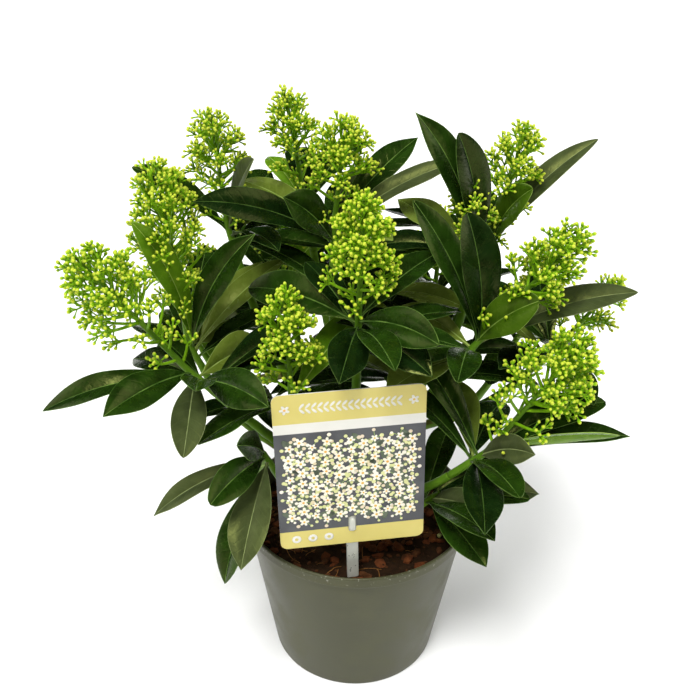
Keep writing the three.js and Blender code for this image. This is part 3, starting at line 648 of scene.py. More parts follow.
class Paint:
    """A material with constants set on its shader's own sockets, and the nodes wired to it."""

    def __init__(self, name, **sockets):
        MATERIALS[name] = bpy.data.materials.new(name)
        MATERIALS[name].use_nodes = True
        self.tree = MATERIALS[name].node_tree
        self.shader = self.tree.nodes["Principled BSDF"]
        for key, value in sockets.items():
            self.shader.inputs[key.replace("_", " ")].default_value = value

    def set_input(self, socket, value):
        """Links another node's output, or sets a number, a vector or a colour's code."""
        if isinstance(value, bpy.types.NodeSocket):
            self.tree.links.new(value, socket)
        else:
            socket.default_value = linear(value) if isinstance(value, str) else value

    def node(self, kind, inputs, **settings):
        """The outputs of a new node with its settings and inputs."""
        made = self.tree.nodes.new("ShaderNode" + kind)
        for key, value in settings.items():
            setattr(made, key, value)
        for key, value in inputs.items():
            self.set_input(made.inputs[key], value)
        return made.outputs

    def calc(self, operation, *values):
        return self.node("Math", dict(enumerate(values)), operation=operation)[0]

    def total(self, *terms):
        """The sum of values, each times its own factor."""
        result = 0.0
        for value, factor in terms:
            result = self.calc("MULTIPLY_ADD", value, factor, result)
        return result

    def blend(self, factor, a, b):
        """A colour between two others."""
        return self.node("Mix", {0: factor, 6: a, 7: b}, data_type="RGBA")[2]

    def window(self, value, low, high):
        """0 below the low value and 1 above the high one, with a soft step between them."""
        inputs = {"Value": value, "From Min": low, "From Max": high}
        return self.node("MapRange", inputs, interpolation_type="SMOOTHSTEP")["Result"]

    def object_place(self):
        """A point of the piece, in metres."""
        return self.node("TexCoord", {})["Object"]

    def noise(self, place, size, detail=3.0):
        """Noise from 0 to 1 with features of about the given size, in the place's own units."""
        inputs = {"Vector": place, "Scale": 1 / size, "Detail": detail, "Roughness": 0.55}
        return self.node("TexNoise", inputs)["Fac"]

    def finish(self, colour, gloss, height, depth):
        """Wires a colour, a roughness and a bump of the given depth in millimetres."""
        bump = self.node("Bump", {"Height": height, "Distance": depth * MM, "Strength": 1.0})
        self.set_input(self.shader.inputs["Base Color"], colour)
        self.set_input(self.shader.inputs["Roughness"], gloss)
        self.set_input(self.shader.inputs["Normal"], bump["Normal"])


def mottled(name, colours, patch, roughness, grain, depth, sockets):
    """A material that wanders between two colours, with a finer grain in its bump and its gloss."""
    paint = Paint(name, **sockets)
    place = paint.object_place()
    patches = paint.window(paint.noise(place, patch * MM), 0.3, 0.7)
    fine = paint.noise(place, grain * MM)
    gloss = paint.calc("MULTIPLY_ADD", fine, 0.16, roughness - 0.08)
    paint.finish(paint.blend(patches, *colours), gloss, fine, depth)


def vein_mask(paint, blade):
    """Faint side veins that leave the midrib at a slant, from a blade's own coordinates."""
    parts = paint.node("SeparateXYZ", {0: blade})
    away = paint.calc("ABSOLUTE", parts["Y"])
    slanted = paint.total((parts["X"], 1.0), (away, -0.95), (paint.noise(blade, 14.0), 5.0))
    ridge = paint.calc("COSINE", paint.calc("MULTIPLY", slanted, 2 * math.pi / VEIN_PITCH))
    return paint.window(ridge, 0.86, 1.0)


def leaf_side(name, colours, vein, roughness):
    """A leathery blade: soft patches, small glands and faint veins."""
    paint = Paint(name, **GREEN_SHEEN)
    blade = paint.node("Attribute", {}, attribute_name="blade_place")["Vector"]
    patches = paint.window(paint.noise(blade, 13.0, 5.0), 0.32, 0.68)
    speckle = paint.noise(blade, 0.8)
    veins = vein_mask(paint, blade)
    glands = paint.calc("MULTIPLY", paint.window(speckle, 0.58, 0.8), 0.2)
    colour = paint.blend(glands, paint.blend(patches, *colours), vein)
    colour = paint.blend(paint.calc("MULTIPLY", veins, 0.1), colour, vein)
    gloss = paint.calc("MULTIPLY_ADD", paint.noise(blade, 6.0, 5.0), 0.26, roughness - 0.13)
    cells = paint.node("TexVoronoi", {"Vector": blade, "Scale": 0.55}, feature="SMOOTH_F1")["Distance"]
    swells = paint.noise(blade, 9.0, 2.0)
    height = paint.total((speckle, 0.4), (veins, -0.5), (swells, 3.5), (cells, 0.5))
    paint.finish(colour, gloss, height, 0.11)


def make_leaf_paints():
    for name, tone in LEAF_TONES.items():
        leaf_side("leaf_top_" + name, tone.top, tone.vein, tone.gloss)
        leaf_side("leaf_under_" + name, tone.under, tone.keel, 0.6)
        mottled("leaf_rib_" + name, (tone.rib, tone.vein), 12, 0.45, 1, 0.05, GREEN_SHEEN)
        mottled("leaf_keel_" + name, (tone.keel, tone.under[1]), 12, 0.5, 1, 0.05, GREEN_SHEEN)
        mottled("leaf_edge_" + name, (tone.rib, tone.vein), 10, 0.45, 1, 0.04, GREEN_SHEEN)


def make_pot_paint():
    """Matt olive-grey plastic with faint moulding rings, dust, and scuffs along its rim."""
    paint = Paint("pot_plastic", Specular_IOR_Level=0.3, Specular_Tint=(1.0, 0.95, 0.8, 1.0))
    place = paint.object_place()
    height = paint.node("SeparateXYZ", {0: place})["Z"]
    dust = paint.window(paint.noise(place, 0.03, 5.0), 0.4, 0.75)
    flecks = paint.window(paint.noise(place, 0.0022, 6.0), 0.6, 0.72)
    scuffs = paint.calc("MULTIPLY", flecks, paint.window(height, 0.119, 0.1265))
    colour = paint.blend(dust, "#3f402c", "#494a34")
    colour = paint.blend(paint.calc("MULTIPLY", scuffs, 0.55), colour, "#a9aa9c")
    rings = paint.calc("SINE", paint.calc("MULTIPLY", height, 2 * math.pi / 0.0016))
    relief = paint.calc("MULTIPLY_ADD", rings, 0.12, paint.noise(place, 0.0007))
    paint.finish(colour, paint.calc("MULTIPLY_ADD", dust, 0.16, 0.36), relief, 0.06)


def make_clear_paint():
    """Milky clear plastic."""
    paint = Paint("clear_plastic", IOR=1.49, Transmission_Weight=0.5, Specular_IOR_Level=0.5)
    haze = paint.noise(paint.object_place(), 0.006)
    gloss = paint.calc("MULTIPLY_ADD", haze, 0.2, 0.2)
    paint.finish(paint.blend(haze, "#e3e4d6", "#f4f5ea"), gloss, haze, 0.05)


def make_paints():
    for *finish, sockets, colours in MOTTLED:
        for name, pair in colours.items():
            mottled(name, pair, *finish, sockets)
    make_leaf_paints()
    make_pot_paint()
    make_clear_paint()


# ---- leaves ----
FULLNESS = Sizes(blade=0.68, sharp_tip=1.2, blunt_tip=0.5, tip_from=0.66)
STATIONS = np.concatenate([[0, 0.045, 0.085, 0.115], np.linspace(0.15, 0.9, 21), [0.935, 0.962, 0.982]])
EDGE_WIDTH = 0.26
RIB = Sizes(root=0.52, tip=0.17, groove=0.4, keel=0.85)
BLADE_THICKNESS = Sizes(rib=0.6, edge=0.3, petiole=1.9)


def drawn_half_widths(blade, number):
    """Half widths a little fuller than the solid's, running to a sharp or a round tip."""
    blunt = blade.leaf.blunt
    if blunt is None:
        blunt = random_from(number + 5, 17)() ** 1.5
    tip = mix(FULLNESS.sharp_tip, FULLNESS.blunt_tip, blunt)
    near_tip = np.clip((STATIONS - FULLNESS.tip_from) / (1 - FULLNESS.tip_from), 0, 1) ** 1.4
    return blade.half_widths(STATIONS, mix(FULLNESS.blade, tip, near_tip))


def leaf_columns(half):
    """Places across a blade from -1 to 1 at each station: edges, blade, and the rib in the middle."""
    edge = 1 - np.minimum(EDGE_WIDTH / half, 0.3)
    rib = np.minimum(np.linspace(RIB.root, RIB.tip, len(half))[:, None] / half, 0.5)
    right = np.hstack([np.ones_like(edge), edge, mix(rib, edge, 0.7), mix(rib, edge, 0.36), rib])
    return np.hstack([-right, np.zeros_like(edge), right[:, ::-1]])


def leaf_relief(length, s, columns, half, draw):
    """How far the upper side and the underside stand off the midrib's plane."""
    across = np.abs(columns)
    out = across * half
    swell = np.sin(math.pi * s)
    phase = mix(draw(), draw(), columns > 0) * 2 * math.pi
    waves = mix(1.0, 2.3, draw())
    amplitude = mix(0.35, 1.05, draw())
    camber = mix(0.04, 0.13, draw())
    bow = np.sin(math.pi * across)
    quilt = np.cos(2 * math.pi * (s * length - 0.95 * out) / VEIN_PITCH)
    height = out * LEAF.fold + camber * half * bow - 0.05 * quilt * bow * swell
    height = height + amplitude * across**2 * swell * np.sin(2 * math.pi * waves * s + phase)
    near_rib = np.exp(-((out / 1.1) ** 2))
    stalk = np.clip(1 - s / 0.16, 0, 1) ** 0.7
    thickness = mix(BLADE_THICKNESS.rib, BLADE_THICKNESS.edge, across)
    thickness = thickness + stalk * BLADE_THICKNESS.petiole * np.sqrt(1 - across**2)
    keel = RIB.keel * near_rib * (1 - 0.75 * s) * (1 - stalk)
    groove = RIB.groove * near_rib * (1 - stalk) * (1 - 0.6 * s)
    return height + thickness / 2 - groove, height - thickness / 2 - keel


def leaf_paints(tone, strips):
    """The materials round a blade's section: its underside, an edge, its upper side, an edge."""
    middle = slice(strips // 2 - 1, strips // 2 + 1)
    edge = ["leaf_edge_" + tone]
    under = ["leaf_under_" + tone] * strips
    under[middle] = ["leaf_keel_" + tone] * 2
    upper = edge + ["leaf_top_" + tone] * (strips - 2) + edge
    upper[middle] = ["leaf_rib_" + tone] * 2
    return under + edge + upper + edge


def add_leaf(surface, blade, number, tone):
    """One leaf: a closed thin blade with a sunken rib above, a keel below and a wavy edge."""
    draw = random_from(number + 5, 3)
    s = STATIONS[:, None]
    centres, sides, normals = blade.frames(STATIONS)
    half = drawn_half_widths(blade, number)[:, None]
    columns = leaf_columns(half)
    heights = leaf_relief(blade.leaf.length, s, columns, half, draw)
    twist = math.radians(mix(-9, 9, draw())) * s**1.5
    turned = sides * np.cos(twist) + normals * np.sin(twist)
    normals = normals * np.cos(twist) - sides * np.sin(twist)
    sway = mix(-1.6, 1.6, draw()) * np.sin(math.pi * s) * s
    flat = centres[:, None] + turned[:, None] * (columns * half + sway)[..., None]
    top, bottom = [flat + normals[:, None] * height[..., None] for height in heights]
    rings = np.concatenate([bottom, top[:, ::-1]], axis=1)
    place = [s * blade.leaf.length + 0 * columns, columns * half, number * 7.3 + 0 * columns]
    place = np.stack(place, axis=2)
    places = np.concatenate([place, place[:, ::-1]], axis=1)
    tip = blade.frames(np.array([1.0]))[0] + rings[-1].mean(0) - centres[-1]
    section = leaf_paints(tone, columns.shape[1] - 1)
    paints = section * (len(rings) - 1) + ["leaf_rib_" + tone] + section
    surface.add(*closed_rings(rings, tip), paints, np.vstack([places.reshape(-1, 3), places[-1].mean(0)]))


def leaf_tone(blade, number):
    """A leaf's tone: the young upper ones are more often lighter and the lower ones darker, and three in
    ten take the deep tone, which is partly painted shade.
    """
    if blade.leaf.tone:
        return blade.leaf.tone
    pick = random_from(number + 3, 11)()
    height = (blade.root[2] - 150) / 200
    if pick < 0.04 + 0.06 * height:
        return "light"
    if pick < 0.16 + 0.1 * height:
        return "mid"
    return "dark" if pick < 0.7 else "deep"


# ---- flower heads ----
PLUMP_HEADS = ("centre", "front", "left_low", "right_mid", "right_low")
SLENDER = 0.84
BUD = Sizes(radius=1.26, spacing=2.7, sides=6, top=1.16, off_leaf=2.3)
BUD_RINGS = ((0.46, -1.45), (0.84, -0.65), (1.0, 0.15), (0.64, 0.86))
PLUMP_PAINTS = ("bud_cup", "bud_side", "bud_tip")
SLENDER_PAINTS = ("bud_side", "bud_tip", "bud_tip")
PEDICEL = Sizes(length=4.0, radii=(0.46, 0.62))
TWIGLET = Sizes(length=5.6, radii=(0.8, 0.7, 0.62))
BRANCHLET = Sizes(root=1.25, tip=0.85, forks=(0.36, 0.52, 0.66, 0.79, 0.9))
LOOSE_SPRAYS = 4
NEARBY = Sizes(buds=60, leaves=100)


def bud_shape(ring_paints):
    """One closed bud along +Z, a drop on a green cup, for a radius of 1."""
    points, faces = closed_rings(turned_rings(BUD_RINGS, BUD.sides), [(0, 0, BUD.top)])
    paints = [paint for paint in ring_paints for _ in range(BUD.sides)]
    return points, faces, paints + ["bud_cup"] + ["bud_tip"] * BUD.sides


class FlowerHead:
    """The branchlets, twiglets, pedicels and buds of one flower head."""

    def __init__(self, shoot, index, leaf_points):
        self.shoot = shoot
        self.index = index
        self.leaf_points = leaf_points
        self.plumpness = 1 if shoot.name in PLUMP_HEADS else SLENDER
        self.axis = unit(shoot.tip - shoot.node)
        self.tubes = []
        self.buds = []

    def sprays(self):
        """The solids' sprays, a finer one between each two of them, and a few loose ones below."""
        coarse = head_sprays(self.shoot, self.index)
        draw = random_from(self.index + 1, 5)
        finer = []
        for k in range(len(coarse)):
            f = mix(0.3, 0.97, (k + 1) / len(coarse))
            turn = (k + 0.5) * GOLDEN_ANGLE + 180 + 40 * self.index + 30 * (draw() - 0.5)
            finer.append(spray_at(self.shoot, f, turn, mix(0.78, 1.0, draw())))
        loose = []
        for k in range(LOOSE_SPRAYS if self.shoot.bare > 0.2 else 0):
            turn = k * GOLDEN_ANGLE + 60 + 40 * self.index
            loose.append(spray_at(self.shoot, -0.07 * (k + 1), turn, mix(0.75, 1.1, draw())))
        return coarse + finer + loose

    def grow(self):
        for number, spray in enumerate(self.sprays()):
            self.grow_spray(spray, random_from(self.index * 97 + number + 1, 17))
        self.grow_cyme(self.shoot.tip - self.axis * 3, self.axis, 5, random_from(self.index, 23))
        return self

    def grow_spray(self, spray, draw):
        """A branchlet with twiglets at the fiftieths of its length nearest its forks, and buds."""
        reach = spray.head - spray.root
        span = np.linalg.norm(reach)
        along = reach / span
        bend = spray.root + reach * 0.5 + spray.outward * span * 0.14
        line = (spray.root, bend, spray.head - along * 1.5)
        radii = np.linspace(BRANCHLET.root, BRANCHLET.tip, 6)
        self.tubes.append((curve(*line, np.linspace(0, 1, 6)), radii, 5))
        axes = cross_axes(along)
        spin = draw() * 360
        first = mix(0.74, 0.3, min(max(spray.height / 0.55, 0), 1))
        forks = [fork for fork in BRANCHLET.forks if fork > first and fork * span > 5]
        for k, share in enumerate(forks):
            away = around(axes, spin + k * GOLDEN_ANGLE)
            length = TWIGLET.length * mix(1.25, 0.8, share) * mix(0.8, 1.2, draw())
            heading = unit(along * 0.75 + away + self.axis * 0.25)
            self.grow_twiglet(curve(*line, round(share * 50) / 50)[0], heading, length, draw)
        self.grow_cyme(line[-1], unit(along + self.axis * 0.2), 4, draw)

    def grow_twiglet(self, start, along, length, draw):
        end = start + unit(along + self.axis * 0.2) * length
        bend = start + along * length * 0.55
        self.tubes.append((curve(start, bend, end, (0, 0.5, 1)), TWIGLET.radii, 4))
        self.grow_cyme(end, unit(end - bend), 3, draw)

    def grow_cyme(self, centre, along, sides, draw):
        """A bud straight on and a few round it, each on its own short stalk."""
        self.grow_bud(centre, along, PEDICEL.length * mix(0.7, 1.1, draw()), draw)
        axes = cross_axes(along)
        spin = draw() * 360
        count = sides - (1 if draw() < 0.35 else 0)
        for k in range(count):
            away = around(axes, spin + 360 * k / count + 30 * (draw() - 0.5))
            tilted = around((along, away), mix(32, 66, draw()))
            self.grow_bud(centre - along * 0.6, tilted, PEDICEL.length * mix(0.8, 1.25, draw()), draw)

    def grow_bud(self, foot, along, length, draw):
        """A bud on its stalk, left out where it would touch a leaf or one of the last few buds."""
        size = BUD.radius * self.plumpness * mix(0.8, 1.12, draw())
        middle = foot + along * (length + size * 1.2)
        others = np.array([bud[0] for bud in self.buds[-NEARBY.buds:]])
        if is_near(middle[None], self.leaf_points, BUD.off_leaf):
            return
        if len(others) and is_near(middle[None], others, BUD.spacing * self.plumpness):
            return
        self.tubes.append((np.array([foot, foot + along * length]), PEDICEL.radii, 4))
        self.buds.append((middle, along, size))


def add_flowers(blades):
    """Buds and stalks, each kind joined for each side of the crown."""
    leaf_points = np.vstack([blade.samples for blade in blades])
    plump, slender = bud_shape(PLUMP_PAINTS), bud_shape(SLENDER_PAINTS)
    for side in SIDES:
        stalks, buds = Surface(), Surface()
        nodes = []
        for index, shoot in enumerate(SHOOTS):
            if not shoot.flowers or side_of(shoot) != side:
                continue
            middle = (shoot.node + shoot.tip) / 2
            near = leaf_points[np.linalg.norm(leaf_points - middle, axis=1) < NEARBY.leaves]
            head = FlowerHead(shoot, index, near).grow()
            for path, radii, sides in head.tubes:
                stalks.add(*tube(path, radii, sides), "flower_stalk")
            points, faces, paints = plump if shoot.name in PLUMP_HEADS else slender
            for origin, along, size in head.buds:
                turn = np.array([*cross_axes(along), along])
                buds.add(origin + (points * size) @ turn, faces, paints)
            nodes.append("mass_" + shoot.name)
        stalks.make("flower_stalks_" + side, "foliage", nodes)
        buds.make("flower_buds_" + side, "foliage", nodes)


# ---- limbs, stems and the joined leaves ----
BARK_UNTIL = Sizes(brown=0.12, olive=0.42)


def bark_relief(path, radius, depth, seed):
    """Lengthwise ridges and small lumps, as a factor on the radius."""
    along = np.concatenate([[0], np.cumsum(np.linalg.norm(np.diff(path, axis=0), axis=1))])

    def relief(k, angle):
        x, y = polar(radius, angle)
        lumps = rough((x, y, along[k]), 3.5, seed + 9)
        return 1 + (depth * rough((x, y, along[k] * 0.3), 1.8, seed) + 0.6 * depth * lumps) / radius

    return relief


def limb_paints(count, sides, shares, seed):
    """Bark at the foot of a limb and green towards its end, with a ragged line between them."""
    paints = []
    for k in range(count - 1):
        for i in range(sides):
            age = shares[k] + 0.16 * rough((i * 1.3, k * 0.35, seed), 1.6)
            old = "bark_brown" if age < BARK_UNTIL.brown else "bark_olive"
            paints.append(old if age < BARK_UNTIL.olive else "shoot_green")
    return paints + [paints[0], paints[-1]]


def add_trunk(surface):
    shares = np.linspace(0, 1, 44)
    path = np.array([trunk_axis(share) for share in shares])

    def relief(k, angle):
        x, y = polar(6, angle)
        ridge = 0.09 * rough((x, y, path[k][2] * 0.35), 2.2, 4) + 0.05 * rough((x, y, path[k][2]), 2.4, 7)
        return 1 + ridge + 0.16 * math.exp(-shares[k] * 9) * math.cos(3 * angle + 0.8)

    surface.add(*tube(path, [trunk_radius(share) for share in shares], 30, relief), "bark_brown")


def add_bough(surface, shoot, index):
    sides, step = 12, 1.6
    steps = max(int(line_length(bough_line(shoot, np.linspace(0, 1, 201))) / step), 12)
    shares = np.linspace(0, 1, steps + 1)
    path = bough_line(shoot, shares)
    collar = 1 + 0.28 * np.exp(-shares * steps * step / 3.5)
    relief = bark_relief(path, BOUGH.radius, 0.34, index)
    age = shares if shoot.parent == "trunk" else 0.3 + 0.7 * shares
    points, faces = tube(path, bough_radius(shoot, shares) * collar, sides, relief)
    surface.add(points, faces, limb_paints(len(path), sides, age, index))


def add_stem(surface, shoot, index):
    """A shoot's green stem, from its bough's end through the whorl to the tip of the head."""
    foot, node, tip = shoot.foot, shoot.node, shoot.tip
    lower = [mix(foot, node, t) for t in np.linspace(0, 0.9, 15)]
    bend = node + shoot.along * 1.5
    upper = curve(mix(foot, node, 0.93), bend, mix(node, tip, 0.12), np.linspace(0, 1, 7)[1:])
    rest = [mix(node, tip, t) for t in np.linspace(0.15, 0.97, 20)]
    path = np.vstack([lower, upper, rest])
    radii = np.concatenate([
        np.linspace(BOUGH.tip_radius, STEM.node_radius, len(lower)),
        np.full(len(upper), STEM.node_radius * 0.95),
        np.linspace(STEM.node_radius * 0.85, 0.9, len(rest)),
    ])
    relief = bark_relief(path, STEM.node_radius, 0.16, index + 40)
    surface.add(*tube(path, radii, 10, relief), "shoot_green")


def add_limbs():
    limbs, stems = Surface(), Surface()
    add_trunk(limbs)
    for index, shoot in enumerate(SHOOTS):
        add_bough(limbs, shoot, index)
        add_stem(stems, shoot, index)
    limbs.make("limbs", "bark", ["trunk"] + ["bough_" + shoot.name for shoot in SHOOTS])
    stems.make("shoot_stems", "foliage", ["mass_" + shoot.name for shoot in SHOOTS])


def add_leaves(blades):
    for side in SIDES:
        surface = Surface()
        names = sorted(shoot.name for shoot in SHOOTS if side_of(shoot) == side)
        for number, blade in enumerate(blades):
            if blade.owner in names:
                add_leaf(surface, blade, number, leaf_tone(blade, number))
        surface.make("leaves_" + side, "foliage", ["mass_" + name for name in names])


# ---- pot and soil ----
LIP_FOOT = POT.height - POT.lip_height
ROUNDING = Sizes(foot=1.6, lip=0.9, rim=1.3)
SOIL_BED = Sizes(rings=58, sides=168, depth=9)
CHIPS = Sizes(count=620, large_share=0.3, off_wall=4)
FIBRES = Sizes(count=46, reach=68, inner=18, outer=74)
BEADS = Sizes(front=(-52, -36), reach=66, angles=(0.4, 1.3, 2.2, 3.1, 5.9))


def body_radius(z):
    return mix(POT.base_radius, POT.rim_radius - POT.lip_proud, z / LIP_FOOT)


SOIL_RADIUS = body_radius(SOIL_LEVEL) - POT.wall


def arc(centre, radius, start, end, steps):
    """Profile points round part of a circle, with angles in degrees from the outward direction."""
    angles = np.radians(np.linspace(start, end, steps + 1))
    return [(centre[0] + radius * math.cos(a), centre[1] + radius * math.sin(a)) for a in angles]


def pot_profile():
    """Radius and height from the underside up the wall, over the rim and down to the floor."""
    rim, base, lip = POT.rim_radius, POT.base_radius, ROUNDING.lip
    points = [(base - 16, 0), (base - 2.6, 0)]
    points += arc((base - 1.4, ROUNDING.foot), ROUNDING.foot, -90, -8, 6)
    points += [(body_radius(z), z) for z in np.linspace(5, LIP_FOOT - 1.2, 34)]
    points += arc((body_radius(LIP_FOOT) + lip, LIP_FOOT - 0.5), lip, 180, 90, 4)[1:]
    points += arc((rim - lip, LIP_FOOT + 1.3), lip, -90, 0, 4)
    points += [(rim - 0.1, mix(LIP_FOOT + 2, POT.height - 2, t)) for t in (0.3, 0.6, 0.9)]
    points += arc((rim - ROUNDING.rim, POT.height - ROUNDING.rim), ROUNDING.rim, 0, 180, 10)
    points += [(body_radius(z) - POT.wall, z) for z in np.linspace(LIP_FOOT - 0.5, POT.floor + 2, 24)]
    return points + [(base - 4, POT.floor), (20, POT.floor)]


def add_pot():
    pot = Surface()
    pot.add(*closed_rings(turned_rings(pot_profile(), 144)), "pot_plastic")
    pot.make("pot_shell", "pot_plastic", ["pot"])


def soil_height(x, y):
    """The top of the potting mix, lumpy and a little lower towards the wall."""
    radius = math.hypot(x, y)
    edge = SOIL_RADIUS - GAP
    drop = 1.2 * max((radius - 28) / (edge - 28), 0) ** 2 + 2.2 * max((radius - edge + 9) / 9, 0) ** 2
    lumps = 1.3 * rough((x, y, 0), 9, 2) + 0.9 * rough((x, y, 0), 3.6, 5) + 0.4 * rough((x, y, 0), 1.6, 8)
    return SOIL_LEVEL - drop + lumps


def add_soil_bed():
    """The top of the mix, with a skirt at its edge that closes it below."""
    edge = SOIL_RADIUS - 0.5
    radii = [*np.linspace(1.5, edge, SOIL_BED.rings), edge]
    rings = turned_rings([(radius, 0) for radius in radii], SOIL_BED.sides)
    for point in rings[:-1].reshape(-1, 3):
        point[2] = soil_height(point[0], point[1])
    rings[-1, :, 2] = SOIL_LEVEL - SOIL_BED.depth
    bed = Surface()
    bed.add(*closed_rings(rings[::-1]), "peat")
    bed.make("soil_bed", "soil", ["soil"])


def add_chips():
    """Bark chips and peat crumbs strewn over the potting mix, the larger ones of them reddish."""
    chips = Surface()
    draw = random_from(71, 2)
    edge = SOIL_RADIUS - CHIPS.off_wall
    block, faces = ball(1)
    for number in range(CHIPS.count):
        radius = edge * math.sqrt(mix(0.02, 1, draw()))
        x, y = polar(radius, 2 * math.pi * draw())
        large = draw() < CHIPS.large_share
        size = mix(2.6, 5.2, draw()) if large else mix(0.9, 2.2, draw())
        stretch = np.array([size, size * mix(0.5, 0.85, draw()), size * mix(0.28, 0.5, draw())])
        if radius < TRUNK.foot_radius + size * 0.8 or radius + size > edge + 2.5:
            continue
        swollen = [[1 + 0.34 * rough(point, 0.8, number * 0.37)] for point in block]
        points = np.sign(block) * np.abs(block) ** 0.75 * swollen * stretch
        tilt = mix(-0.5, 0.5, draw()), mix(-0.4, 0.4, draw()), 2 * math.pi * draw()
        turn = np.array(Euler(tilt, "YXZ").to_matrix())
        reddish, other = ("chip_red", "chip_brown") if large else ("chip_dark", "chip_brown")
        paint = reddish if draw() < (0.4 if large else 0.6) else other
        chips.add(points @ turn.T + (x, y, soil_height(x, y) + stretch[2] * 0.45), faces, paint)
    chips.make("bark_chips", "soil", flat=True)


def add_fibres():
    """Fine roots and fibres that lie on the potting mix."""
    fibres = Surface()
    draw = random_from(72, 4)
    for number in range(FIBRES.count):
        radius = FIBRES.reach * math.sqrt(draw())
        middle = polar(radius, 2 * math.pi * draw())
        heading = 2 * math.pi * draw()
        if radius < FIBRES.inner:
            continue
        length = mix(7, 22, draw())
        bow = mix(-0.5, 0.5, draw())
        path = []
        for t in np.linspace(-0.5, 0.5, 9):
            x, y = np.add(middle, polar(length * t, heading + bow * t))
            path.append((x, y, soil_height(x, y) + 0.5 + 1.3 * abs(math.sin(3 * t + number))))
        if max(math.hypot(x, y) for x, y, _ in path) > FIBRES.outer:
            continue
        fibres.add(*tube(np.array(path), np.full(9, mix(0.18, 0.34, draw())), 4), "fibre")
    fibres.make("soil_fibres", "soil")


def add_beads():
    """A few beads of slow plant food near the wall."""
    beads = Surface()
    draw = random_from(73, 6)
    sphere, faces = ball(2)
    places = [BEADS.front] + [polar(BEADS.reach, angle) for angle in BEADS.angles]
    for number, (x, y) in enumerate(places):
        size = mix(1.5, 2.0, draw())
        swollen = [[size * (1 + 0.08 * rough(point * size, 1.2, number))] for point in sphere]
        beads.add(sphere * swollen + (x, y, soil_height(x, y) + size * 1.3), faces, "feed_bead")
    beads.make("feed_beads", "soil")


# ---- card and stake ----
CARD_TURN = np.array(
    Matrix.Rotation(math.radians(CARD.yaw), 3, "Z") @ Matrix.Rotation(math.radians(CARD.turn), 3, "Y")
)
BAND_LEVELS = Sizes(bottom=-47.5, panel=32.5, strip=40)
CARD_FRONT = -CARD.thickness / 2
CARD_BACK = CARD.thickness / 2 + GAP
INK = Sizes(foot=0.02, rise=0.05, layer=0.03)
PANEL = Sizes(middle=-7.5, half_width=47, half_height=37)
POSIES = Sizes(pitch=8, columns=5, limit=34, lug_half_width=3)
GARLAND = Sizes(height=51, first=-32, last=30, pairs=17, lean=48, blossoms=(-41, 41))
DOTS = Sizes(height=-54.5, places=(-38, -27, -16), radius=3.2, middle=1.3)


def at_card(points):
    """Points drawn in the card's own frame, x across, z up and y into it, in their place."""
    return np.asarray(points, float) @ CARD_TURN.T + CARD.centre


def rounded_outline(width, height, corner, z=0.0, steps=6):
    """The corners' arcs of a rounded rectangle, anticlockwise in x and z."""
    points = []
    for sx, sz, start in ((1, -1, -90), (1, 1, 0), (-1, 1, 90), (-1, -1, 180)):
        centre = (sx * (width / 2 - corner), z + sz * (height / 2 - corner))
        points += arc(centre, corner, start, start + 90, steps)
    return points


def outline_loop(mesh, outline):
    vertices = [mesh.verts.new((x, CARD_FRONT, z)) for x, z in outline]
    return [mesh.edges.new((a, b)) for a, b in zip(vertices, vertices[1:] + vertices[:1])]


def band_paint(face):
    """The printed colour of a face of the card: bands and panel in front, white elsewhere."""
    height = face.calc_center_median().z
    if face.normal.y > -0.5:
        return "card_white"
    if height < BAND_LEVELS.bottom or height > BAND_LEVELS.strip:
        return "card_yellow"
    return "card_white" if height > BAND_LEVELS.panel else "card_panel"


def add_card():
    """The card, cut at the edges of its printed bands, with a slot for the stake's lug."""
    mesh = bmesh.new()
    edges = outline_loop(mesh, rounded_outline(CARD.width, CARD.height, CARD.corner))
    slot = rounded_outline(CARD.slot_width, CARD.slot_height, CARD.slot_corner, CARD.slot_level)
    edges += outline_loop(mesh, slot)
    bmesh.ops.triangle_fill(mesh, edges=edges, use_beauty=True)
    for level in (BAND_LEVELS.bottom, BAND_LEVELS.panel, BAND_LEVELS.strip):
        parts = mesh.verts[:] + mesh.edges[:] + mesh.faces[:]
        bmesh.ops.bisect_plane(mesh, geom=parts, plane_co=(0, 0, level), plane_no=(0, 0, 1))
    pushed = bmesh.ops.extrude_face_region(mesh, geom=mesh.faces[:], use_keep_orig=True)
    moved = [part for part in pushed["geom"] if isinstance(part, bmesh.types.BMVert)]
    bmesh.ops.translate(mesh, verts=moved, vec=(0, CARD.thickness, 0))
    bmesh.ops.recalc_face_normals(mesh, faces=mesh.faces)
    mesh.verts.index_update()
    mesh.normal_update()
    paints = [band_paint(face) for face in mesh.faces]
    points, faces = taken_from(mesh)
    card = Surface()
    card.add(at_card(points), faces, paints)
    card.make("card_body", "label_card", ["label_card"], flat=True)


def kept_in_panel(x, z, turn, length):
    """A leaf's turn, or the way to the panel's middle where that turn would leave the panel."""
    end = (x, z, 0) + direction(turn) * length
    inside = abs(end[0]) < PANEL.half_width and abs(end[1] - PANEL.middle) < PANEL.half_height
    return turn if inside else math.degrees(math.atan2(PANEL.middle - z, -x))


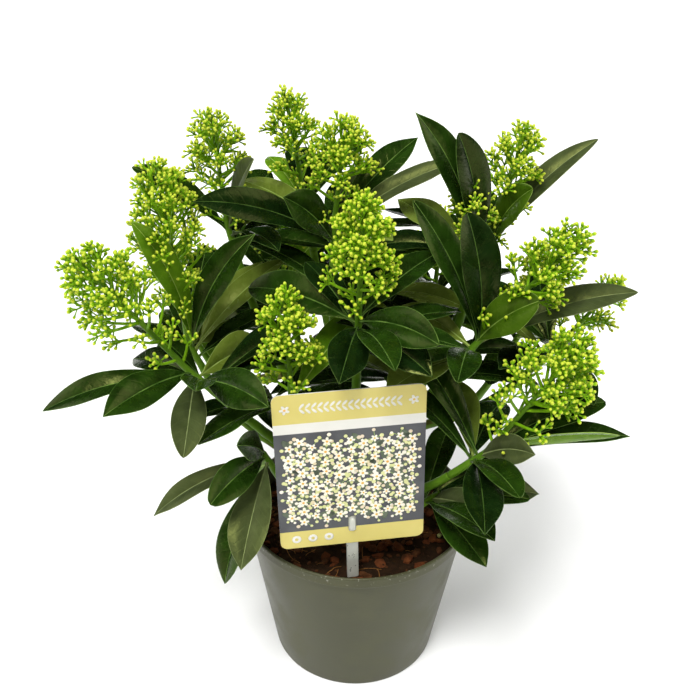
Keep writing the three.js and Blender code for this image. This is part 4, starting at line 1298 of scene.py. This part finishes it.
class Print:
    """Small raised shapes on the card's face, each a low dome over its outline."""

    def __init__(self):
        self.surface = Surface()
        self.draw = random_from(81, 3)

    def dome(self, outline, paint, layer=0):
        """A shape whose outline runs anticlockwise, on one of the thin layers of ink."""
        centre = np.mean(outline, axis=0)
        foot = CARD_FRONT - INK.foot - INK.layer * layer
        rings = [
            [(mix(centre[0], x, share), foot - rise, mix(centre[1], z, share)) for x, z in outline]
            for share, rise in ((1, 0), (0.8, INK.rise))
        ]
        points, faces = closed_rings(np.array(rings))
        self.surface.add(at_card(points), faces, paint)

    def petal(self, x, z, length, width, angle, paint, layer=0):
        """A leaf or petal shape that starts at a point and runs off at an angle in degrees."""
        u, v, _ = direction(angle)
        outline = []
        for t in ring_angles(8):
            along = length * (0.5 - 0.5 * math.cos(t))
            side = 0.5 * width * math.sin(t) * (0.7 + 0.3 * along / length)
            outline.append((x + along * u + side * v, z + along * v - side * u))
        self.dome(outline, paint, layer)

    def disc(self, x, z, radius, paint, layer=0, sides=8):
        self.dome([np.add((x, z), polar(radius, angle)) for angle in ring_angles(sides)], paint, layer)

    def blossom(self, x, z, size, paint="petal", layer=4):
        turn = 360 * self.draw()
        for k in range(5):
            self.petal(x, z, size, size * 0.66, turn + 72 * k, paint, layer)
        self.disc(x, z, size * 0.26, "petal_heart", layer + 2)

    def posy(self, x, z):
        """A blossom with a leaf behind it and a few buds on stalks."""
        turn = 360 * self.draw()
        length = mix(8, 12, self.draw())
        self.petal(x, z, length, 4.6, kept_in_panel(x, z, turn, length), "card_leaf")
        for k, paint in enumerate(("sprig_bud", "petal", "sprig_bud", "petal_dusk")):
            angle = turn + 60 + 85 * k + 30 * self.draw()
            reach = mix(4.2, 6.2, self.draw())
            end = (x, z, 0) + direction(angle) * reach
            self.petal(x, z, reach, 0.7, angle, "sprig", 1)
            self.disc(end[0], end[1], mix(1.0, 1.6, self.draw()), paint, 2 + k % 2)
        self.blossom(x + self.draw() - 0.5, z + self.draw() - 0.5, mix(2.6, 4.2, self.draw()))

    def posies(self):
        """An all-over pattern in the panel that leaves the stake's lug free."""
        numbers = range(-POSIES.columns, POSIES.columns + 1)
        for column in numbers:
            for row in numbers:
                x = column * POSIES.pitch
                rise = (row + 0.5 * (column % 2)) * POSIES.pitch
                beside_lug = abs(x) < POSIES.lug_half_width and PANEL.middle + rise < -POSIES.limit
                if abs(rise) < POSIES.limit and not beside_lug:
                    self.posy(x + self.draw() - 0.5, PANEL.middle + rise + self.draw() - 0.5)


def add_print():
    """Posies in the panel, a garland in the top band and plain dots in the bottom one."""
    card_print = Print()
    card_print.posies()
    for x in np.linspace(GARLAND.first, GARLAND.last, GARLAND.pairs):
        for angle in (GARLAND.lean, -GARLAND.lean):
            card_print.petal(x, GARLAND.height, 5.2, 2.1, angle, "card_white")
    for x in GARLAND.blossoms:
        card_print.blossom(x, GARLAND.height, 3.6, "card_white")
    for x in DOTS.places:
        card_print.disc(x, DOTS.height, DOTS.radius, "card_white", sides=16)
        card_print.disc(x, DOTS.height, DOTS.middle, "card_yellow", 2)
    card_print.surface.make("card_print", "label_card")


def channel_rings():
    """The stake's section, open at the back, as rings from its foot to its top."""
    w, d, t, bevel = STAKE.width / 2, STAKE.depth, STAKE.wall, 0.4
    right = [(w - bevel, 0), (w, bevel), (w, d), (w - t, d), (w - t, t)]
    section = right + [(-x, y) for x, y in reversed(right)]
    section = section[-2:] + section[:-2]
    low, high = STAKE.foot - CARD.centre[2], STAKE.top - CARD.centre[2]
    return np.array([
        [(x * narrow, CARD_BACK + y, z) for x, y in section]
        for z, narrow in ((low, 0.25), (low + 10, 1), (high - 1, 1), (high, 0.94))
    ])


def lug_rings():
    """The rounded lug that stands through the card's slot, as rings from its back to its face."""
    middle = CARD.slot_level
    outline = rounded_outline(STAKE.lug_width, STAKE.lug_height, STAKE.lug_width / 2 - 0.05, middle, 5)
    front = CARD_FRONT - STAKE.lug_proud
    rounding = ((front + 1.2, 1), (front + 0.6, 0.95), (front + 0.2, 0.82), (front, 0.55))
    return np.array([
        [(x * share, y, mix(middle, z, share)) for x, z in outline]
        for y, share in ((CARD_BACK + 0.3, 1), *rounding)
    ])


def add_stake():
    stake = Surface()
    for rings in (channel_rings(), lug_rings()):
        points, faces = closed_rings(rings)
        stake.add(at_card(points), faces, "clear_plastic")
    stake.make("stake_body", "clear_plastic", ["label_stake"], flat=True)


# ---- floor, light and camera, in metres ----
FLOOR_REACH = 14.0
BACKDROP = Sizes(radius=13.5, height=9.0, sides=64)
# Each lamp's azimuth from +X to +Y, height and softness in degrees, and power.
SUNS = dict(
    key=(-112, 62, 22, 3.0), left=(176, 32, 45, 1.0), right=(-6, 32, 45, 1.1), back=(84, 52, 50, 0.8),
)
CAMERA = Sizes(place=(-0.007, -0.576, 0.594), down=30.2, roll=1.0, lens=50)


def add_stage(name, points, faces):
    """Part of the studio: a mesh with its own paint."""
    mesh = bpy.data.meshes.new(name)
    mesh.from_pydata(points, [], faces)
    mesh.materials.append(MATERIALS[name + "_paint"])
    piece = linked(name, mesh)
    return piece


def add_floor():
    corners = [(x * FLOOR_REACH, y * FLOOR_REACH, 0) for x, y in ((-1, -1), (1, -1), (1, 1), (-1, 1))]
    add_stage("floor", corners, [(0, 1, 2, 3)])


def add_backdrop():
    """A pale wall far round the floor that shows behind the plant and lights and shades nothing."""
    profile = ((BACKDROP.radius, 0.0), (BACKDROP.radius, BACKDROP.height))
    rings = turned_rings(profile, BACKDROP.sides)
    inward = [tuple(face[i] for i in (1, 0, 3, 2)) for face in ring_faces(2, BACKDROP.sides)]
    backdrop = add_stage("backdrop", rings.reshape(-1, 3).tolist(), inward)
    backdrop.visible_diffuse = backdrop.visible_glossy = False
    backdrop.visible_transmission = backdrop.visible_shadow = False


def add_lights():
    """Wide soft suns and a dim white world. The back sun and the world give no glints."""
    for name, (azimuth, height, softness, power) in SUNS.items():
        light = bpy.data.lights.new(name, "SUN")
        light.angle = math.radians(softness)
        light.energy = power
        lamp = linked(name, light)
        toward = Vector(around((direction(azimuth), UP), height))
        lamp.rotation_euler = toward.to_track_quat("Z", "Y").to_euler()
        lamp.visible_glossy = name != "back"
    world = bpy.data.worlds.new("studio")
    world.use_nodes = True
    background = world.node_tree.nodes["Background"]
    background.inputs["Color"].default_value = (1, 1, 1, 1)
    background.inputs["Strength"].default_value = 0.3
    world.cycles_visibility.glossy = False
    bpy.context.scene.world = world
    bpy.context.scene.view_settings.view_transform = "Standard"


def add_camera():
    data = bpy.data.cameras.new("camera")
    data.lens = CAMERA.lens
    camera = linked("camera", data)
    camera.matrix_world = (
        Matrix.Translation(CAMERA.place)
        @ Matrix.Rotation(math.radians(90 - CAMERA.down), 4, "X")
        @ Matrix.Rotation(math.radians(CAMERA.roll), 4, "Z")
    )
    bpy.context.scene.camera = camera


make_paints()
BLADES = Crown().grow()
add_pot()
add_soil_bed()
add_chips()
add_fibres()
add_beads()
add_card()
add_print()
add_stake()
add_limbs()
add_leaves(BLADES)
add_flowers(BLADES)
add_floor()
add_backdrop()
add_lights()
add_camera()
